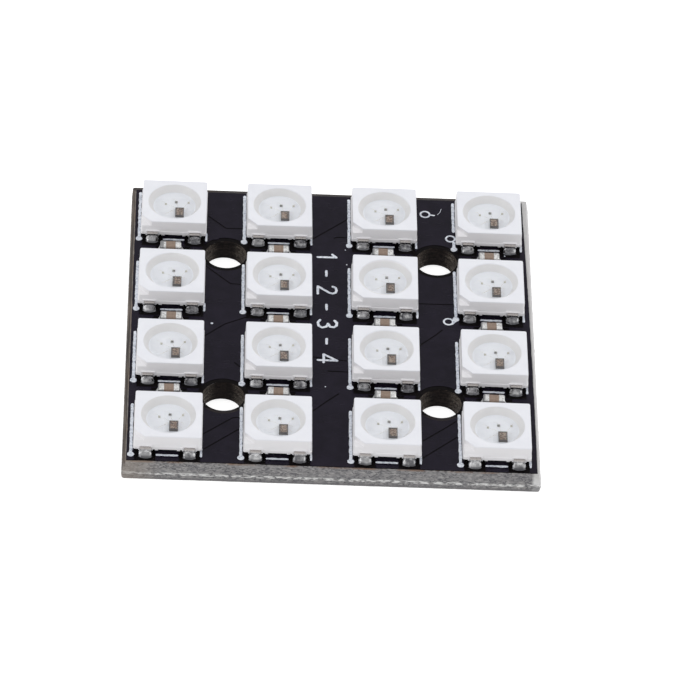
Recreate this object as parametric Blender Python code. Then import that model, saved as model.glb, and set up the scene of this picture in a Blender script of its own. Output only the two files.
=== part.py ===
"""A small square lighting panel: a black circuit board that carries a grid of top-view colour LEDs.

The board is snapped out of a scored sheet, so its four edges lean in to the top and bottom faces.
Each LED is a white moulded housing with a round reflector cup, a cut corner that marks its first
lead, four folded leads with their solder, a controller die and three small light dies, under a
clear silicone filling. A chip capacitor sits in each gap between the rows. Wires are soldered to
flat tinned pads on the underside.

Units are metres, +Z is up, and the origin is the middle of the underside.
"""

import math

import bmesh
import bpy
from mathutils import Matrix, Vector

MM = 0.001

# Grid
COLUMNS = 4
ROWS = 4
LED_PITCH = 8.0 * MM

# Circuit board
BOARD_THICKNESS = 1.6 * MM
SIDE_MARGIN = 0.80 * MM
FRONT_MARGIN = 1.10 * MM
CORNER_RADIUS = 0.3 * MM
SCORE_ANGLE = math.radians(30.0)
SCORE_DEPTH_TOP = 1.0 * MM
SCORE_DEPTH_BOTTOM = 0.35 * MM
HOLE_DIAMETER = 3.2 * MM

# LED housing
HOUSING_SIDE = 5.0 * MM
HOUSING_HEIGHT = 1.6 * MM
HOUSING_DRAFT = 0.05 * MM
HOUSING_EDGE_ROUND = 0.12 * MM
HOUSING_RIM_ROUND = 0.05 * MM
STAND_OFF = 0.05 * MM
SKIRT_HEIGHT = 0.40 * MM
PLINTH_INSET = 0.45 * MM
NOTCH_LEG = 0.9 * MM
NOTCH_DEPTH = 0.44 * MM
CUP_DIAMETER = 4.0 * MM
CUP_FLOOR_DIAMETER = 3.2 * MM
CUP_DEPTH = 0.92 * MM

# Leads and solder
LEAD_SPACING = 3.2 * MM
LEAD_WIDTH = 0.86 * MM
LEAD_THICKNESS = 0.15 * MM
LEAD_STAND_OUT = 0.25 * MM
LEAD_FOOT = 0.8 * MM
LEAD_ROOT = 0.35 * MM
LEAD_BEND = 0.08 * MM
WINDOW_CLEARANCE = 0.08 * MM
WINDOW_DEPTH = 0.1 * MM
SOLDER_RISE = 0.52 * MM
SOLDER_TOE = 0.32 * MM
SOLDER_WAIST = 0.12 * MM
SOLDER_WAIST_HEIGHT = 0.21 * MM
SOLDER_FLARE = 0.06 * MM

# Dies on the cup floor, placed from the LED's centre
CONTROLLER_WIDTH = 0.65 * MM
CONTROLLER_DEPTH = 0.8 * MM
CONTROLLER_HEIGHT = 0.25 * MM
CONTROLLER_CENTRE = (0.4 * MM, -0.78 * MM)
LIGHT_DIE_SIDE = 0.24 * MM
LIGHT_DIE_HEIGHT = 0.1 * MM
LIGHT_DIE_CENTRES = ((-0.67 * MM, 0.15 * MM), (0.12 * MM, 0.4 * MM), (1.04 * MM, 0.39 * MM))
DIE_SINK = 0.02 * MM

# Silicone filling
LENS_CLEARANCE = 0.02 * MM
LENS_SINK = 0.03 * MM
LENS_DISH = 0.04 * MM
LENS_RIM = 0.3 * MM

# Chip capacitors
CAPACITOR_LENGTH = 1.6 * MM
CAPACITOR_DEPTH = 0.8 * MM
CAPACITOR_HEIGHT = 0.68 * MM
CAPACITOR_STAND_OFF = 0.03 * MM
TERMINATION_LENGTH = 0.44 * MM
TERMINATION_STEP = 0.025 * MM
CAPACITOR_EDGE_ROUND = 0.06 * MM
CAPACITOR_SOLDER_RISE = 0.42 * MM
CAPACITOR_SOLDER_TOE = 0.3 * MM
CAPACITOR_SOLDER_WAIST = 0.11 * MM
CAPACITOR_SOLDER_WAIST_HEIGHT = 0.16 * MM
CAPACITOR_SOLDER_ROOT = 0.26 * MM
CAPACITOR_SOLDER_FLARE = 0.07 * MM

# Wire pads in the underside
PADS_PER_SIDE = 3
PAD_LENGTH = 2.2 * MM
PAD_WIDTH = 1.6 * MM
PAD_GAP = 0.94 * MM
PAD_THICKNESS = 0.04 * MM
PAD_EDGE_GAP = 0.7 * MM
PAD_CLEARANCE = 0.02 * MM

# Facets
HOLE_SIDES = 24
CUP_SIDES = 24
CORNER_STEPS = 3
EDGE_STEPS = 2
OVERCUT = 0.2 * MM
WELD = 0.001 * MM
FLAT_ANGLE = math.radians(1.0)
SMOOTH_ANGLE = math.radians(35.0)

# Worked out from the sizes above
HOLE_SPACING = 2.0 * LED_PITCH
BOARD_WIDTH = (COLUMNS - 1) * LED_PITCH + HOUSING_SIDE + 2.0 * SIDE_MARGIN
BOARD_DEPTH = (ROWS - 1) * LED_PITCH + HOUSING_SIDE + 2.0 * FRONT_MARGIN
HOUSING_TOP = STAND_OFF + HOUSING_HEIGHT
WALL_MIDDLE = (SKIRT_HEIGHT + HOUSING_TOP) / 2.0
CUP_FLOOR = HOUSING_TOP - CUP_DEPTH
LEAD_FACE = 0.5 * HOUSING_SIDE + LEAD_STAND_OUT


def clear_scene():
    for old in list(bpy.data.objects):
        bpy.data.objects.remove(old, do_unlink=True)


def finish_material(name, colour, roughness, metallic=0.0, alpha=1.0):
    material = bpy.data.materials.new(name)
    material.use_nodes = True
    shader = material.node_tree.nodes["Principled BSDF"]
    shader.inputs["Base Color"].default_value = (*colour, 1.0)
    shader.inputs["Roughness"].default_value = roughness
    shader.inputs["Metallic"].default_value = metallic
    shader.inputs["Alpha"].default_value = alpha
    return material


def place(name, mesh, material, location=(0.0, 0.0, 0.0)):
    """Make one named object from a mesh that other objects may share."""
    if not mesh.materials:
        mesh.materials.append(material)
    made = bpy.data.objects.new(name, mesh)
    made.location = location
    bpy.context.scene.collection.objects.link(made)
    return made


def to_mesh(bm, name):
    bmesh.ops.recalc_face_normals(bm, faces=bm.faces)
    mesh = bpy.data.meshes.new(name)
    bm.to_mesh(mesh)
    bm.free()
    return mesh


def combine(base, steps):
    """Join tool meshes to a base mesh, or cut them from it, and return the result as one mesh."""
    work = bpy.data.objects.new(base.name, base)
    bpy.context.scene.collection.objects.link(work)
    tools = []
    for operation, mesh in steps:
        tool = bpy.data.objects.new(mesh.name, mesh)
        tool.hide_render = True
        tool.display_type = "WIRE"
        bpy.context.scene.collection.objects.link(tool)
        tools.append(tool)
        modifier = work.modifiers.new(mesh.name, "BOOLEAN")
        modifier.operation = operation
        modifier.solver = "EXACT"
        modifier.object = tool
    graph = bpy.context.evaluated_depsgraph_get()
    result = bpy.data.meshes.new_from_object(work.evaluated_get(graph))
    result.name = base.name
    for helper in [work, *tools]:
        bpy.data.objects.remove(helper, do_unlink=True)
    return result


def soften(mesh):
    """Shade round stretches smooth and keep the corners sharp."""
    mesh.shade_smooth()
    mesh.set_sharp_from_angle(angle=SMOOTH_ANGLE)
    return mesh


def add_block(bm, low, high):
    """Add a closed block between two corners to a bmesh."""
    size = Vector(high) - Vector(low)
    middle = (Vector(high) + Vector(low)) / 2.0
    stretch = Matrix.Translation(middle) @ Matrix.Diagonal((*size, 1.0))
    bmesh.ops.create_cube(bm, size=1.0, matrix=stretch)


def block(name, low, high):
    bm = bmesh.new()
    add_block(bm, low, high)
    return to_mesh(bm, name)


def prism(name, outline, low, high):
    """Extrude an (x, y) outline from one height to another."""
    bm = bmesh.new()
    face = bm.faces.new([bm.verts.new((x, y, low)) for x, y in outline])
    raised = bmesh.ops.extrude_face_region(bm, geom=[face])["geom"]
    corners = [item for item in raised if isinstance(item, bmesh.types.BMVert)]
    bmesh.ops.translate(bm, verts=corners, vec=(0.0, 0.0, high - low))
    return to_mesh(bm, name)


def revolve(bm, profile, sides):
    """Spin a profile of (radius, height) points, its ends on the axis, into a closed turned shape."""
    points = [bm.verts.new((radius, 0.0, height)) for radius, height in profile]
    edges = [bm.edges.new(pair) for pair in zip(points[:-1], points[1:])]
    bmesh.ops.spin(
        bm, geom=points + edges, axis=(0.0, 0.0, 1.0), cent=(0.0, 0.0, 0.0),
        angle=math.tau, steps=sides, use_merge=True,
    )
    bmesh.ops.remove_doubles(bm, verts=bm.verts, dist=WELD)


def turned(name, profile, sides):
    bm = bmesh.new()
    revolve(bm, profile, sides)
    bmesh.ops.dissolve_limit(bm, angle_limit=FLAT_ANGLE, verts=bm.verts, edges=bm.edges)
    return to_mesh(bm, name)


def loft(name, sections):
    """Close a row of sections, each a loop of as many points, with walls between them and two ends."""
    bm = bmesh.new()
    loops = [[bm.verts.new(point) for point in section] for section in sections]
    for near, far in zip(loops[:-1], loops[1:]):
        for index, corner in enumerate(near):
            bm.faces.new((corner, near[index - 1], far[index - 1], far[index]))
    bm.faces.new(loops[0])
    bm.faces.new(loops[-1])
    return to_mesh(bm, name)


def rounded_rectangle(width, depth, radius):
    """Corner points of a rectangle whose corners are arcs, counter-clockwise."""
    points = []
    for turn in range(4):
        across = 1.0 if turn in (0, 3) else -1.0
        along = 1.0 if turn in (0, 1) else -1.0
        for step in range(CORNER_STEPS + 1):
            angle = (turn + step / CORNER_STEPS) * math.pi / 2.0
            x = across * (width / 2.0 - radius) + radius * math.cos(angle)
            y = along * (depth / 2.0 - radius) + radius * math.sin(angle)
            points.append((x, y))
    return points


def score_setback(depth):
    """How far a scoring wheel's flank stands back from the snapped web at a given depth."""
    return depth * math.tan(SCORE_ANGLE / 2.0)


def pad_places():
    """Name and (x, y) centre of each wire pad: inputs on the left, outputs on the right."""
    reach = BOARD_WIDTH / 2.0 - score_setback(SCORE_DEPTH_BOTTOM) - PAD_EDGE_GAP - PAD_LENGTH / 2.0
    for side, label in ((-1.0, "input_pad"), (1.0, "output_pad")):
        for index in range(PADS_PER_SIDE):
            offset = (index - (PADS_PER_SIDE - 1) / 2.0) * (PAD_WIDTH + PAD_GAP)
            yield f"{label}_{index + 1}", (side * reach, offset)


def board_blank():
    """The board before drilling: a score's flank, the snapped web and the other score's flank."""
    top_back = score_setback(SCORE_DEPTH_TOP)
    bottom_back = score_setback(SCORE_DEPTH_BOTTOM)
    levels = (
        (0.0, bottom_back),
        (SCORE_DEPTH_BOTTOM, 0.0),
        (BOARD_THICKNESS - SCORE_DEPTH_TOP, 0.0),
        (BOARD_THICKNESS, top_back),
    )
    sections = []
    for height, back in levels:
        outline = rounded_rectangle(BOARD_WIDTH - 2.0 * back, BOARD_DEPTH - 2.0 * back, CORNER_RADIUS)
        sections.append([(x, y, height) for x, y in outline])
    return loft("circuit_board", sections)


def mounting_holes():
    bm = bmesh.new()
    for x in (-HOLE_SPACING / 2.0, HOLE_SPACING / 2.0):
        for y in (-HOLE_SPACING / 2.0, HOLE_SPACING / 2.0):
            bmesh.ops.create_cone(
                bm, cap_ends=True, segments=HOLE_SIDES,
                radius1=HOLE_DIAMETER / 2.0, radius2=HOLE_DIAMETER / 2.0,
                depth=BOARD_THICKNESS + 2.0 * OVERCUT,
                matrix=Matrix.Translation((x, y, BOARD_THICKNESS / 2.0)),
            )
    return to_mesh(bm, "mounting_holes")


def pad_pockets():
    """Openings in the underside's coating, one clearance wider than the pads that lie in them."""
    bm = bmesh.new()
    half_length = PAD_LENGTH / 2.0 + PAD_CLEARANCE
    half_width = PAD_WIDTH / 2.0 + PAD_CLEARANCE
    for _, (x, y) in pad_places():
        low = (x - half_length, y - half_width, -OVERCUT)
        high = (x + half_length, y + half_width, PAD_THICKNESS)
        add_block(bm, low, high)
    return to_mesh(bm, "pad_pockets")


def circuit_board(material):
    mesh = combine(board_blank(), [("DIFFERENCE", mounting_holes()), ("DIFFERENCE", pad_pockets())])
    place("circuit_board", soften(mesh), material)


def wire_pads(material):
    mesh = block(
        "wire_pad",
        (-PAD_LENGTH / 2.0, -PAD_WIDTH / 2.0, 0.0),
        (PAD_LENGTH / 2.0, PAD_WIDTH / 2.0, PAD_THICKNESS),
    )
    for name, (x, y) in pad_places():
        place(name, mesh, material, (x, y, 0.0))


def housing_block():
    """Extrude the housing's side profile across its width, then draft and round the moulding."""
    half = HOUSING_SIDE / 2.0
    top = half - HOUSING_DRAFT
    plinth = half - PLINTH_INSET
    profile = (
        (-plinth, STAND_OFF), (plinth, STAND_OFF), (plinth, SKIRT_HEIGHT), (half, SKIRT_HEIGHT),
        (top, HOUSING_TOP), (-top, HOUSING_TOP), (-half, SKIRT_HEIGHT), (-plinth, SKIRT_HEIGHT),
    )
    bm = bmesh.new()
    face = bm.faces.new([bm.verts.new((-half, y, z)) for y, z in profile])
    grown = bmesh.ops.extrude_face_region(bm, geom=[face])["geom"]
    far = [item for item in grown if isinstance(item, bmesh.types.BMVert)]
    bmesh.ops.translate(bm, verts=far, vec=(HOUSING_SIDE, 0.0, 0.0))
    for corner in bm.verts:
        if corner.co.z > WALL_MIDDLE:
            corner.co.x *= top / half
    bmesh.ops.recalc_face_normals(bm, faces=bm.faces)
    uprights = [edge for edge in bm.edges if is_upright(edge)]
    bmesh.ops.bevel(
        bm, geom=uprights, offset=HOUSING_EDGE_ROUND, segments=EDGE_STEPS,
        profile=0.5, affect="EDGES",
    )
    rim = [edge for edge in bm.edges if is_rim(edge)]
    bmesh.ops.bevel(
        bm, geom=rim, offset=HOUSING_RIM_ROUND, segments=1, profile=0.5, affect="EDGES",
    )
    return to_mesh(bm, "led_housing")


def is_upright(edge):
    """True for the four long corner edges between the skirt and the top."""
    low, high = sorted(corner.co.z for corner in edge.verts)
    return low < WALL_MIDDLE < high


def is_rim(edge):
    """True for the edges around the top face."""
    return all(corner.co.z > WALL_MIDDLE for corner in edge.verts)


def reflector_cup():
    """The cup's cone, carried on above the top face so that the cut is clean."""
    slope = (CUP_DIAMETER - CUP_FLOOR_DIAMETER) / 2.0 / CUP_DEPTH
    mouth = CUP_DIAMETER / 2.0 + slope * OVERCUT
    profile = (
        (0.0, CUP_FLOOR), (CUP_FLOOR_DIAMETER / 2.0, CUP_FLOOR),
        (mouth, HOUSING_TOP + OVERCUT), (0.0, HOUSING_TOP + OVERCUT),
    )
    return turned("reflector_cup", profile, CUP_SIDES)


def corner_notch():
    """The wedge that is missing at the corner by the first lead."""
    corner = -HOUSING_SIDE / 2.0 - OVERCUT
    reach = -HOUSING_SIDE / 2.0 + HOUSING_DRAFT + NOTCH_LEG
    outline = (
        (corner, corner), (reach + OVERCUT + HOUSING_DRAFT, corner),
        (corner, reach + OVERCUT + HOUSING_DRAFT),
    )
    return prism("corner_notch", outline, HOUSING_TOP - NOTCH_DEPTH, HOUSING_TOP + OVERCUT)


def lead_places():
    """Side along X and end along Y of each of the four leads."""
    for end in (-1.0, 1.0):
        for side in (-1.0, 1.0):
            yield side, end


def lead_windows():
    """Shallow pockets in the end walls, where the leads come out."""
    bm = bmesh.new()
    half_width = LEAD_WIDTH / 2.0 + WINDOW_CLEARANCE
    inner = HOUSING_SIDE / 2.0 - WINDOW_DEPTH
    outer = HOUSING_SIDE / 2.0 + OVERCUT
    for side, end in lead_places():
        middle = side * LEAD_SPACING / 2.0
        near, far = sorted((end * inner, end * outer))
        low = (middle - half_width, near, SKIRT_HEIGHT - OVERCUT)
        high = (middle + half_width, far, CUP_FLOOR + WINDOW_CLEARANCE)
        add_block(bm, low, high)
    return to_mesh(bm, "lead_windows")


def lead_profile():
    """Outline of a folded lead and its solder, as (distance from the LED's middle, height)."""
    inside = LEAD_FACE - LEAD_THICKNESS
    root = HOUSING_SIDE / 2.0 - LEAD_ROOT
    return (
        (root, CUP_FLOOR), (LEAD_FACE - LEAD_BEND, CUP_FLOOR), (LEAD_FACE, CUP_FLOOR - LEAD_BEND),
        (LEAD_FACE, SOLDER_RISE), (LEAD_FACE + SOLDER_WAIST, SOLDER_WAIST_HEIGHT),
        (LEAD_FACE + SOLDER_TOE, 0.0), (LEAD_FACE - LEAD_FOOT, 0.0),
        (LEAD_FACE - LEAD_FOOT, LEAD_THICKNESS), (inside, LEAD_THICKNESS),
        (inside, CUP_FLOOR - LEAD_THICKNESS), (root, CUP_FLOOR - LEAD_THICKNESS),
    )


def folded_lead(side, end):
    """One lead with its solder, whose toe spreads out on the board."""
    middle = side * LEAD_SPACING / 2.0
    bm = bmesh.new()
    start = [bm.verts.new((middle - LEAD_WIDTH / 2.0, end * y, z)) for y, z in lead_profile()]
    grown = bmesh.ops.extrude_face_region(bm, geom=[bm.faces.new(start)])["geom"]
    far = [item for item in grown if isinstance(item, bmesh.types.BMVert)]
    bmesh.ops.translate(bm, verts=far, vec=(LEAD_WIDTH, 0.0, 0.0))
    for corner in bm.verts:
        if abs(corner.co.y) > LEAD_FACE + SOLDER_WAIST / 2.0:
            corner.co.x += math.copysign(SOLDER_FLARE, corner.co.x - middle)
    return to_mesh(bm, "folded_lead")


def die_blocks(clearance):
    """The dies' outer shapes, grown by a clearance where the silicone has to fit over them."""
    bm = bmesh.new()
    x, y = CONTROLLER_CENTRE
    half = Vector((CONTROLLER_WIDTH / 2.0 + clearance, CONTROLLER_DEPTH / 2.0 + clearance))
    top = CUP_FLOOR + CONTROLLER_HEIGHT + clearance
    add_block(bm, (x - half.x, y - half.y, CUP_FLOOR - DIE_SINK), (x + half.x, y + half.y, top))
    reach = LIGHT_DIE_SIDE / 2.0 + clearance
    top = CUP_FLOOR + LIGHT_DIE_HEIGHT + clearance
    for x, y in LIGHT_DIE_CENTRES:
        add_block(bm, (x - reach, y - reach, CUP_FLOOR - DIE_SINK), (x + reach, y + reach, top))
    return to_mesh(bm, "dies")


def led_housing():
    steps = [
        ("DIFFERENCE", reflector_cup()),
        ("DIFFERENCE", corner_notch()),
        ("DIFFERENCE", lead_windows()),
        ("UNION", die_blocks(0.0)),
    ]
    steps += [("UNION", folded_lead(side, end)) for side, end in lead_places()]
    return soften(combine(housing_block(), steps))


def led_lens():
    """The cured filling: it follows the cup's cone, closes over the dies and dishes at its top."""
    slope = (CUP_DIAMETER - CUP_FLOOR_DIAMETER) / 2.0 / CUP_DEPTH
    bottom = CUP_FLOOR + LENS_CLEARANCE
    brim = HOUSING_TOP - LENS_SINK
    foot = CUP_FLOOR_DIAMETER / 2.0 - LENS_CLEARANCE
    lip = CUP_DIAMETER / 2.0 - slope * LENS_SINK - LENS_CLEARANCE
    profile = (
        (0.0, bottom), (foot, bottom), (lip, brim),
        (lip - LENS_RIM, brim - LENS_DISH), (0.0, brim - LENS_DISH),
    )
    blank = turned("led_lens", profile, CUP_SIDES)
    return soften(combine(blank, [("DIFFERENCE", die_blocks(LENS_CLEARANCE))]))


def led_places():
    """Label and (x, y) centre of each LED, row 1 at the front and column 1 on the left."""
    for row in range(ROWS):
        for column in range(COLUMNS):
            x = (column - (COLUMNS - 1) / 2.0) * LED_PITCH
            y = (row - (ROWS - 1) / 2.0) * LED_PITCH
            yield f"r{row + 1}c{column + 1}", (x, y)


def leds(housing_material, lens_material):
    housing = led_housing()
    lens = led_lens()
    for label, (x, y) in led_places():
        place(f"led_housing_{label}", housing, housing_material, (x, y, BOARD_THICKNESS))
        place(f"led_lens_{label}", lens, lens_material, (x, y, BOARD_THICKNESS))


def capacitor_blank():
    """Sections along the chip: rounded tinned ends, stepped down to the bare ceramic between them."""
    half = CAPACITOR_LENGTH / 2.0
    shoulder = half - TERMINATION_LENGTH
    stations = (
        (-half, CAPACITOR_EDGE_ROUND), (-half + CAPACITOR_EDGE_ROUND, 0.0), (-shoulder, 0.0),
        (-shoulder, TERMINATION_STEP), (shoulder, TERMINATION_STEP), (shoulder, 0.0),
        (half - CAPACITOR_EDGE_ROUND, 0.0), (half, CAPACITOR_EDGE_ROUND),
    )
    return loft("capacitor", [[(x, y, z) for y, z in end_outline(step)] for x, step in stations])


def end_outline(step):
    """Outline of the chip's section as (y, z), its four long edges rounded off."""
    side = CAPACITOR_DEPTH / 2.0 - step
    low = CAPACITOR_STAND_OFF + step
    high = CAPACITOR_STAND_OFF + CAPACITOR_HEIGHT - step
    cut = CAPACITOR_EDGE_ROUND
    return (
        (-side + cut, low), (side - cut, low), (side, low + cut), (side, high - cut),
        (side - cut, high), (-side + cut, high), (-side, high - cut), (-side, low + cut),
    )


def capacitor_solder(end):
    """Solder around one end of the chip, leaning in as it rises and hollow towards the board."""
    face = CAPACITOR_LENGTH / 2.0
    root = face - CAPACITOR_SOLDER_ROOT
    outline = (
        (root, 0.0), (face + CAPACITOR_SOLDER_TOE, 0.0),
        (face + CAPACITOR_SOLDER_WAIST, CAPACITOR_SOLDER_WAIST_HEIGHT),
        (face - CAPACITOR_EDGE_ROUND / 2.0, CAPACITOR_SOLDER_RISE), (root, CAPACITOR_SOLDER_RISE),
    )
    foot = CAPACITOR_DEPTH / 2.0 + CAPACITOR_SOLDER_FLARE
    lean = 2.0 * CAPACITOR_SOLDER_FLARE / CAPACITOR_SOLDER_RISE
    sides = [[(end * x, side * (foot - lean * z), z) for x, z in outline] for side in (-1.0, 1.0)]
    return loft("capacitor_solder", sides)


def capacitors(material):
    """One chip on each column's centre line, in the middle of each gap between two rows."""
    steps = [("UNION", capacitor_solder(end)) for end in (-1.0, 1.0)]
    mesh = soften(combine(capacitor_blank(), steps))
    for row in range(ROWS - 1):
        for column in range(COLUMNS):
            x = (column - (COLUMNS - 1) / 2.0) * LED_PITCH
            y = (row - (ROWS - 2) / 2.0) * LED_PITCH
            place(f"capacitor_r{row + 1}c{column + 1}", mesh, material, (x, y, BOARD_THICKNESS))


clear_scene()
circuit_board(finish_material("black_coated_laminate", (0.020, 0.018, 0.026), 0.3))
wire_pads(finish_material("tinned_copper", (0.60, 0.60, 0.61), 0.3, metallic=1.0))
leds(
    finish_material("white_moulded_plastic", (0.82, 0.82, 0.85), 0.5),
    finish_material("clear_silicone", (0.90, 0.90, 0.92), 0.1, alpha=0.35),
)
capacitors(finish_material("capacitor_ceramic", (0.27, 0.19, 0.14), 0.45))
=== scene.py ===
import math

import bmesh
import bpy
from mathutils import Matrix, Vector, noise
from mathutils.geometry import tessellate_polygon


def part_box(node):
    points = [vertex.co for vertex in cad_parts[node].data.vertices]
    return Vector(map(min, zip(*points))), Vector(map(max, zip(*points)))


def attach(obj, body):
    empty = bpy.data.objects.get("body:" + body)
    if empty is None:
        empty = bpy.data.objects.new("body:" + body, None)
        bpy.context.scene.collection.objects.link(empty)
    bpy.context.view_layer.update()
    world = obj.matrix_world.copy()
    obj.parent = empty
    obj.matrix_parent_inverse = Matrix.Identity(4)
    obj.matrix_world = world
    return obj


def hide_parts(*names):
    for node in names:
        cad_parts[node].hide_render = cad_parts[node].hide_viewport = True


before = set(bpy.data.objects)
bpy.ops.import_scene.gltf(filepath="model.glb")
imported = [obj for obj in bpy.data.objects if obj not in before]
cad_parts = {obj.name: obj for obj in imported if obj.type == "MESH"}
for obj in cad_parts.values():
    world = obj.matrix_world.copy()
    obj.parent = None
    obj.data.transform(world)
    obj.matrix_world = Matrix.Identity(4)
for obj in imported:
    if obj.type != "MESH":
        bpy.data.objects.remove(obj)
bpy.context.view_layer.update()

# ---- Viewpoint ----
# The panel is photographed through a long lens from in front of it and a little to the left,
# looking down at about 42 degrees, so that its rows run almost level across the picture.
MM = 0.001
CAMERA_PLACE = Vector((-13.57, -288.605, 256.368)) * MM
CAMERA_TURN = [math.radians(turn) for turn in (48.288, -2.955, -0.358)]
CAMERA_LENS = 264.93
CAMERA_NEAR = 20.0 * MM


def in_scene(name, data):
    """A new object in the scene, at its origin."""
    made = bpy.data.objects.new(name, data)
    bpy.context.scene.collection.objects.link(made)
    return made


lens = bpy.data.cameras.new("viewpoint")
lens.lens = CAMERA_LENS
lens.clip_start = CAMERA_NEAR
viewpoint = in_scene("viewpoint", lens)
viewpoint.location = CAMERA_PLACE
viewpoint.rotation_euler = CAMERA_TURN
bpy.context.scene.camera = viewpoint

# ---- Studio ----
# A white sweep of card under a white tent, with a softbox behind on the right and one on the left.
# The card shows as pure white and still takes the panel's shadow.
WHITE = (1.0, 1.0, 1.0, 1.0)
TENT_LIGHT = 0.78
CARD_REACH = 1.5
CARD_DROP = 0.02 * MM
CARD_GLOW = 0.76
SOFTBOXES = {"softbox_right": (0.55, 0.28, 0.50), "softbox_left": (-0.60, -0.35, 0.40)}
SOFTBOX_SIZE = 0.40
SOFTBOX_POWER = 0.9


def add_node(tree, kind, inputs=None, **settings):
    """Add a node, set its properties, and give each named input a value or a link."""
    made = tree.nodes.new(kind)
    for name, value in settings.items():
        setattr(made, name, value)
    for name, value in (inputs or {}).items():
        socket = made.inputs[name]
        if isinstance(value, bpy.types.NodeSocket):
            tree.links.new(value, socket)
        else:
            socket.default_value = value
    return made


def reckon(kind, first, second=0.0):
    """One step of arithmetic on two values, of which at least one is a socket."""
    tree = (first if isinstance(first, bpy.types.NodeSocket) else second).id_data
    return add_node(tree, "ShaderNodeMath", {0: first, 1: second}, operation=kind).outputs[0]


def times(first, second):
    return reckon("MULTIPLY", first, second)


def less(first, second):
    return reckon("SUBTRACT", first, second)


def new_finish(name, **values):
    """A material with its surface shader, whose plain values are set here by name."""
    material = bpy.data.materials.new(name)
    material.use_nodes = True
    shader = material.node_tree.nodes["Principled BSDF"]
    for key, value in values.items():
        shader.inputs[key.replace("_", " ")].default_value = value
    return material, material.node_tree, shader


def feed(shader, **sockets):
    """Link sockets to a shader's inputs, which are named with _ for a space."""
    for key, socket in sockets.items():
        shader.id_data.links.new(socket, shader.inputs[key.replace("_", " ")])


def white_card():
    """Matt card with a glow for the camera and for reflections only, so that it shows as white."""
    material, tree, shader = new_finish(
        "white_card", Base_Color=(0.72, 0.72, 0.72, 1.0), Roughness=0.9, Emission_Color=WHITE
    )
    rays = add_node(tree, "ShaderNodeLightPath").outputs
    seen = reckon("MAXIMUM", rays["Is Camera Ray"], rays["Is Glossy Ray"])
    seen = reckon("MAXIMUM", seen, rays["Is Transmission Ray"])
    feed(shader, Emission_Strength=times(seen, CARD_GLOW))
    return material


card_mesh = bpy.data.meshes.new("card")
card_mesh.from_pydata(
    [(x * CARD_REACH, y * CARD_REACH, -CARD_DROP) for x, y in ((-1, -1), (1, -1), (1, 1), (-1, 1))],
    [], [(0, 1, 2, 3)],
)
card_mesh.materials.append(white_card())
in_scene("card", card_mesh)

tent = bpy.data.worlds.new("tent")
tent.use_nodes = True
tent.node_tree.nodes.clear()
tent_rays = add_node(tent.node_tree, "ShaderNodeLightPath")
tent_strength = add_node(
    tent.node_tree, "ShaderNodeMapRange",
    {"Value": tent_rays.outputs["Is Camera Ray"], "To Min": TENT_LIGHT, "To Max": 1.0},
)
tent_glow = add_node(
    tent.node_tree, "ShaderNodeBackground", {"Color": WHITE, "Strength": tent_strength.outputs[0]}
)
add_node(tent.node_tree, "ShaderNodeOutputWorld", {"Surface": tent_glow.outputs[0]})
bpy.context.scene.world = tent
bpy.context.scene.view_settings.view_transform = "Standard"

for name, place in SOFTBOXES.items():
    lamp = bpy.data.lights.new(name, "AREA")
    lamp.size = SOFTBOX_SIZE
    lamp.energy = SOFTBOX_POWER
    softbox = in_scene(name, lamp)
    softbox.location = place
    softbox.rotation_euler = (-Vector(place)).to_track_quat("-Z", "Y").to_euler()

# ---- Laminate ----
# The board's core: woven glass cloth in epoxy, pressed to 1.6 mm. It is scored from both faces and
# snapped out of its sheet, which leaves sawn flanks and a torn web of glass, and is then drilled.
# Here and below, places on the panel are lengths that were read off the picture.
board_low, board_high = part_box("circuit_board")
BOARD_TOP = board_high.z
COAT = 0.055 * MM
UNDER_COAT = 0.04 * MM
SCORE_LEAN = math.tan(math.radians(15.0))
SCORE_SHARE = {"rear": 0.4, "left": 0.25}
FRONT_FOOT = 0.6
REAR_CORNER = 0.25
CORNER_ROUND = 0.05 * MM
WEB_CORNER_EXTRA = 0.25 * MM
CORNER_FADE = 0.2 * MM
WEB_LOW = 0.35 * MM
WEB_HIGH = 0.6 * MM
TEAR = {"foot": 0.02, "web edge": 0.06, "web": 0.11, "flank": 0.03, "rim": 0.01}
HOLE_RADIUS = 1.57 * MM
BORE_FOOT = 1.46 * MM
BORE_LEAN = Vector((-0.06, -0.05)) * MM
BORE_CHATTER = 0.02
HOLE_CENTRES = [(x * MM, y * MM) for x in (-8.0, 8.0) for y in (-8.045, 7.955)]
FOOT_STEPS, WEB_STEPS, FLANK_STEPS = 4, 6, 12
EDGE_STEPS = 210
CORNER_STEPS = 5
HOLE_STEPS = 64
BORE_STEPS = 12
CORNERS = ((1, 1), (-1, 1), (-1, -1), (1, -1))


def made_piece(name, mesh, finishes, slot):
    """Put a finished mesh in the scene, riding on the part's one body."""
    for finish in finishes:
        mesh.materials.append(finish)
    piece = in_scene(name, mesh)
    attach(piece, "root")
    return piece


def to_mesh(bm, name, smooth=None):
    """Turn a closed bmesh into a mesh with outward faces, smooth up to an angle in degrees."""
    bmesh.ops.recalc_face_normals(bm, faces=bm.faces)
    mesh = bpy.data.meshes.new(name)
    bm.to_mesh(mesh)
    bm.free()
    if smooth is not None:
        mesh.shade_smooth()
        mesh.set_sharp_from_angle(angle=math.radians(smooth))
    return mesh


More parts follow.
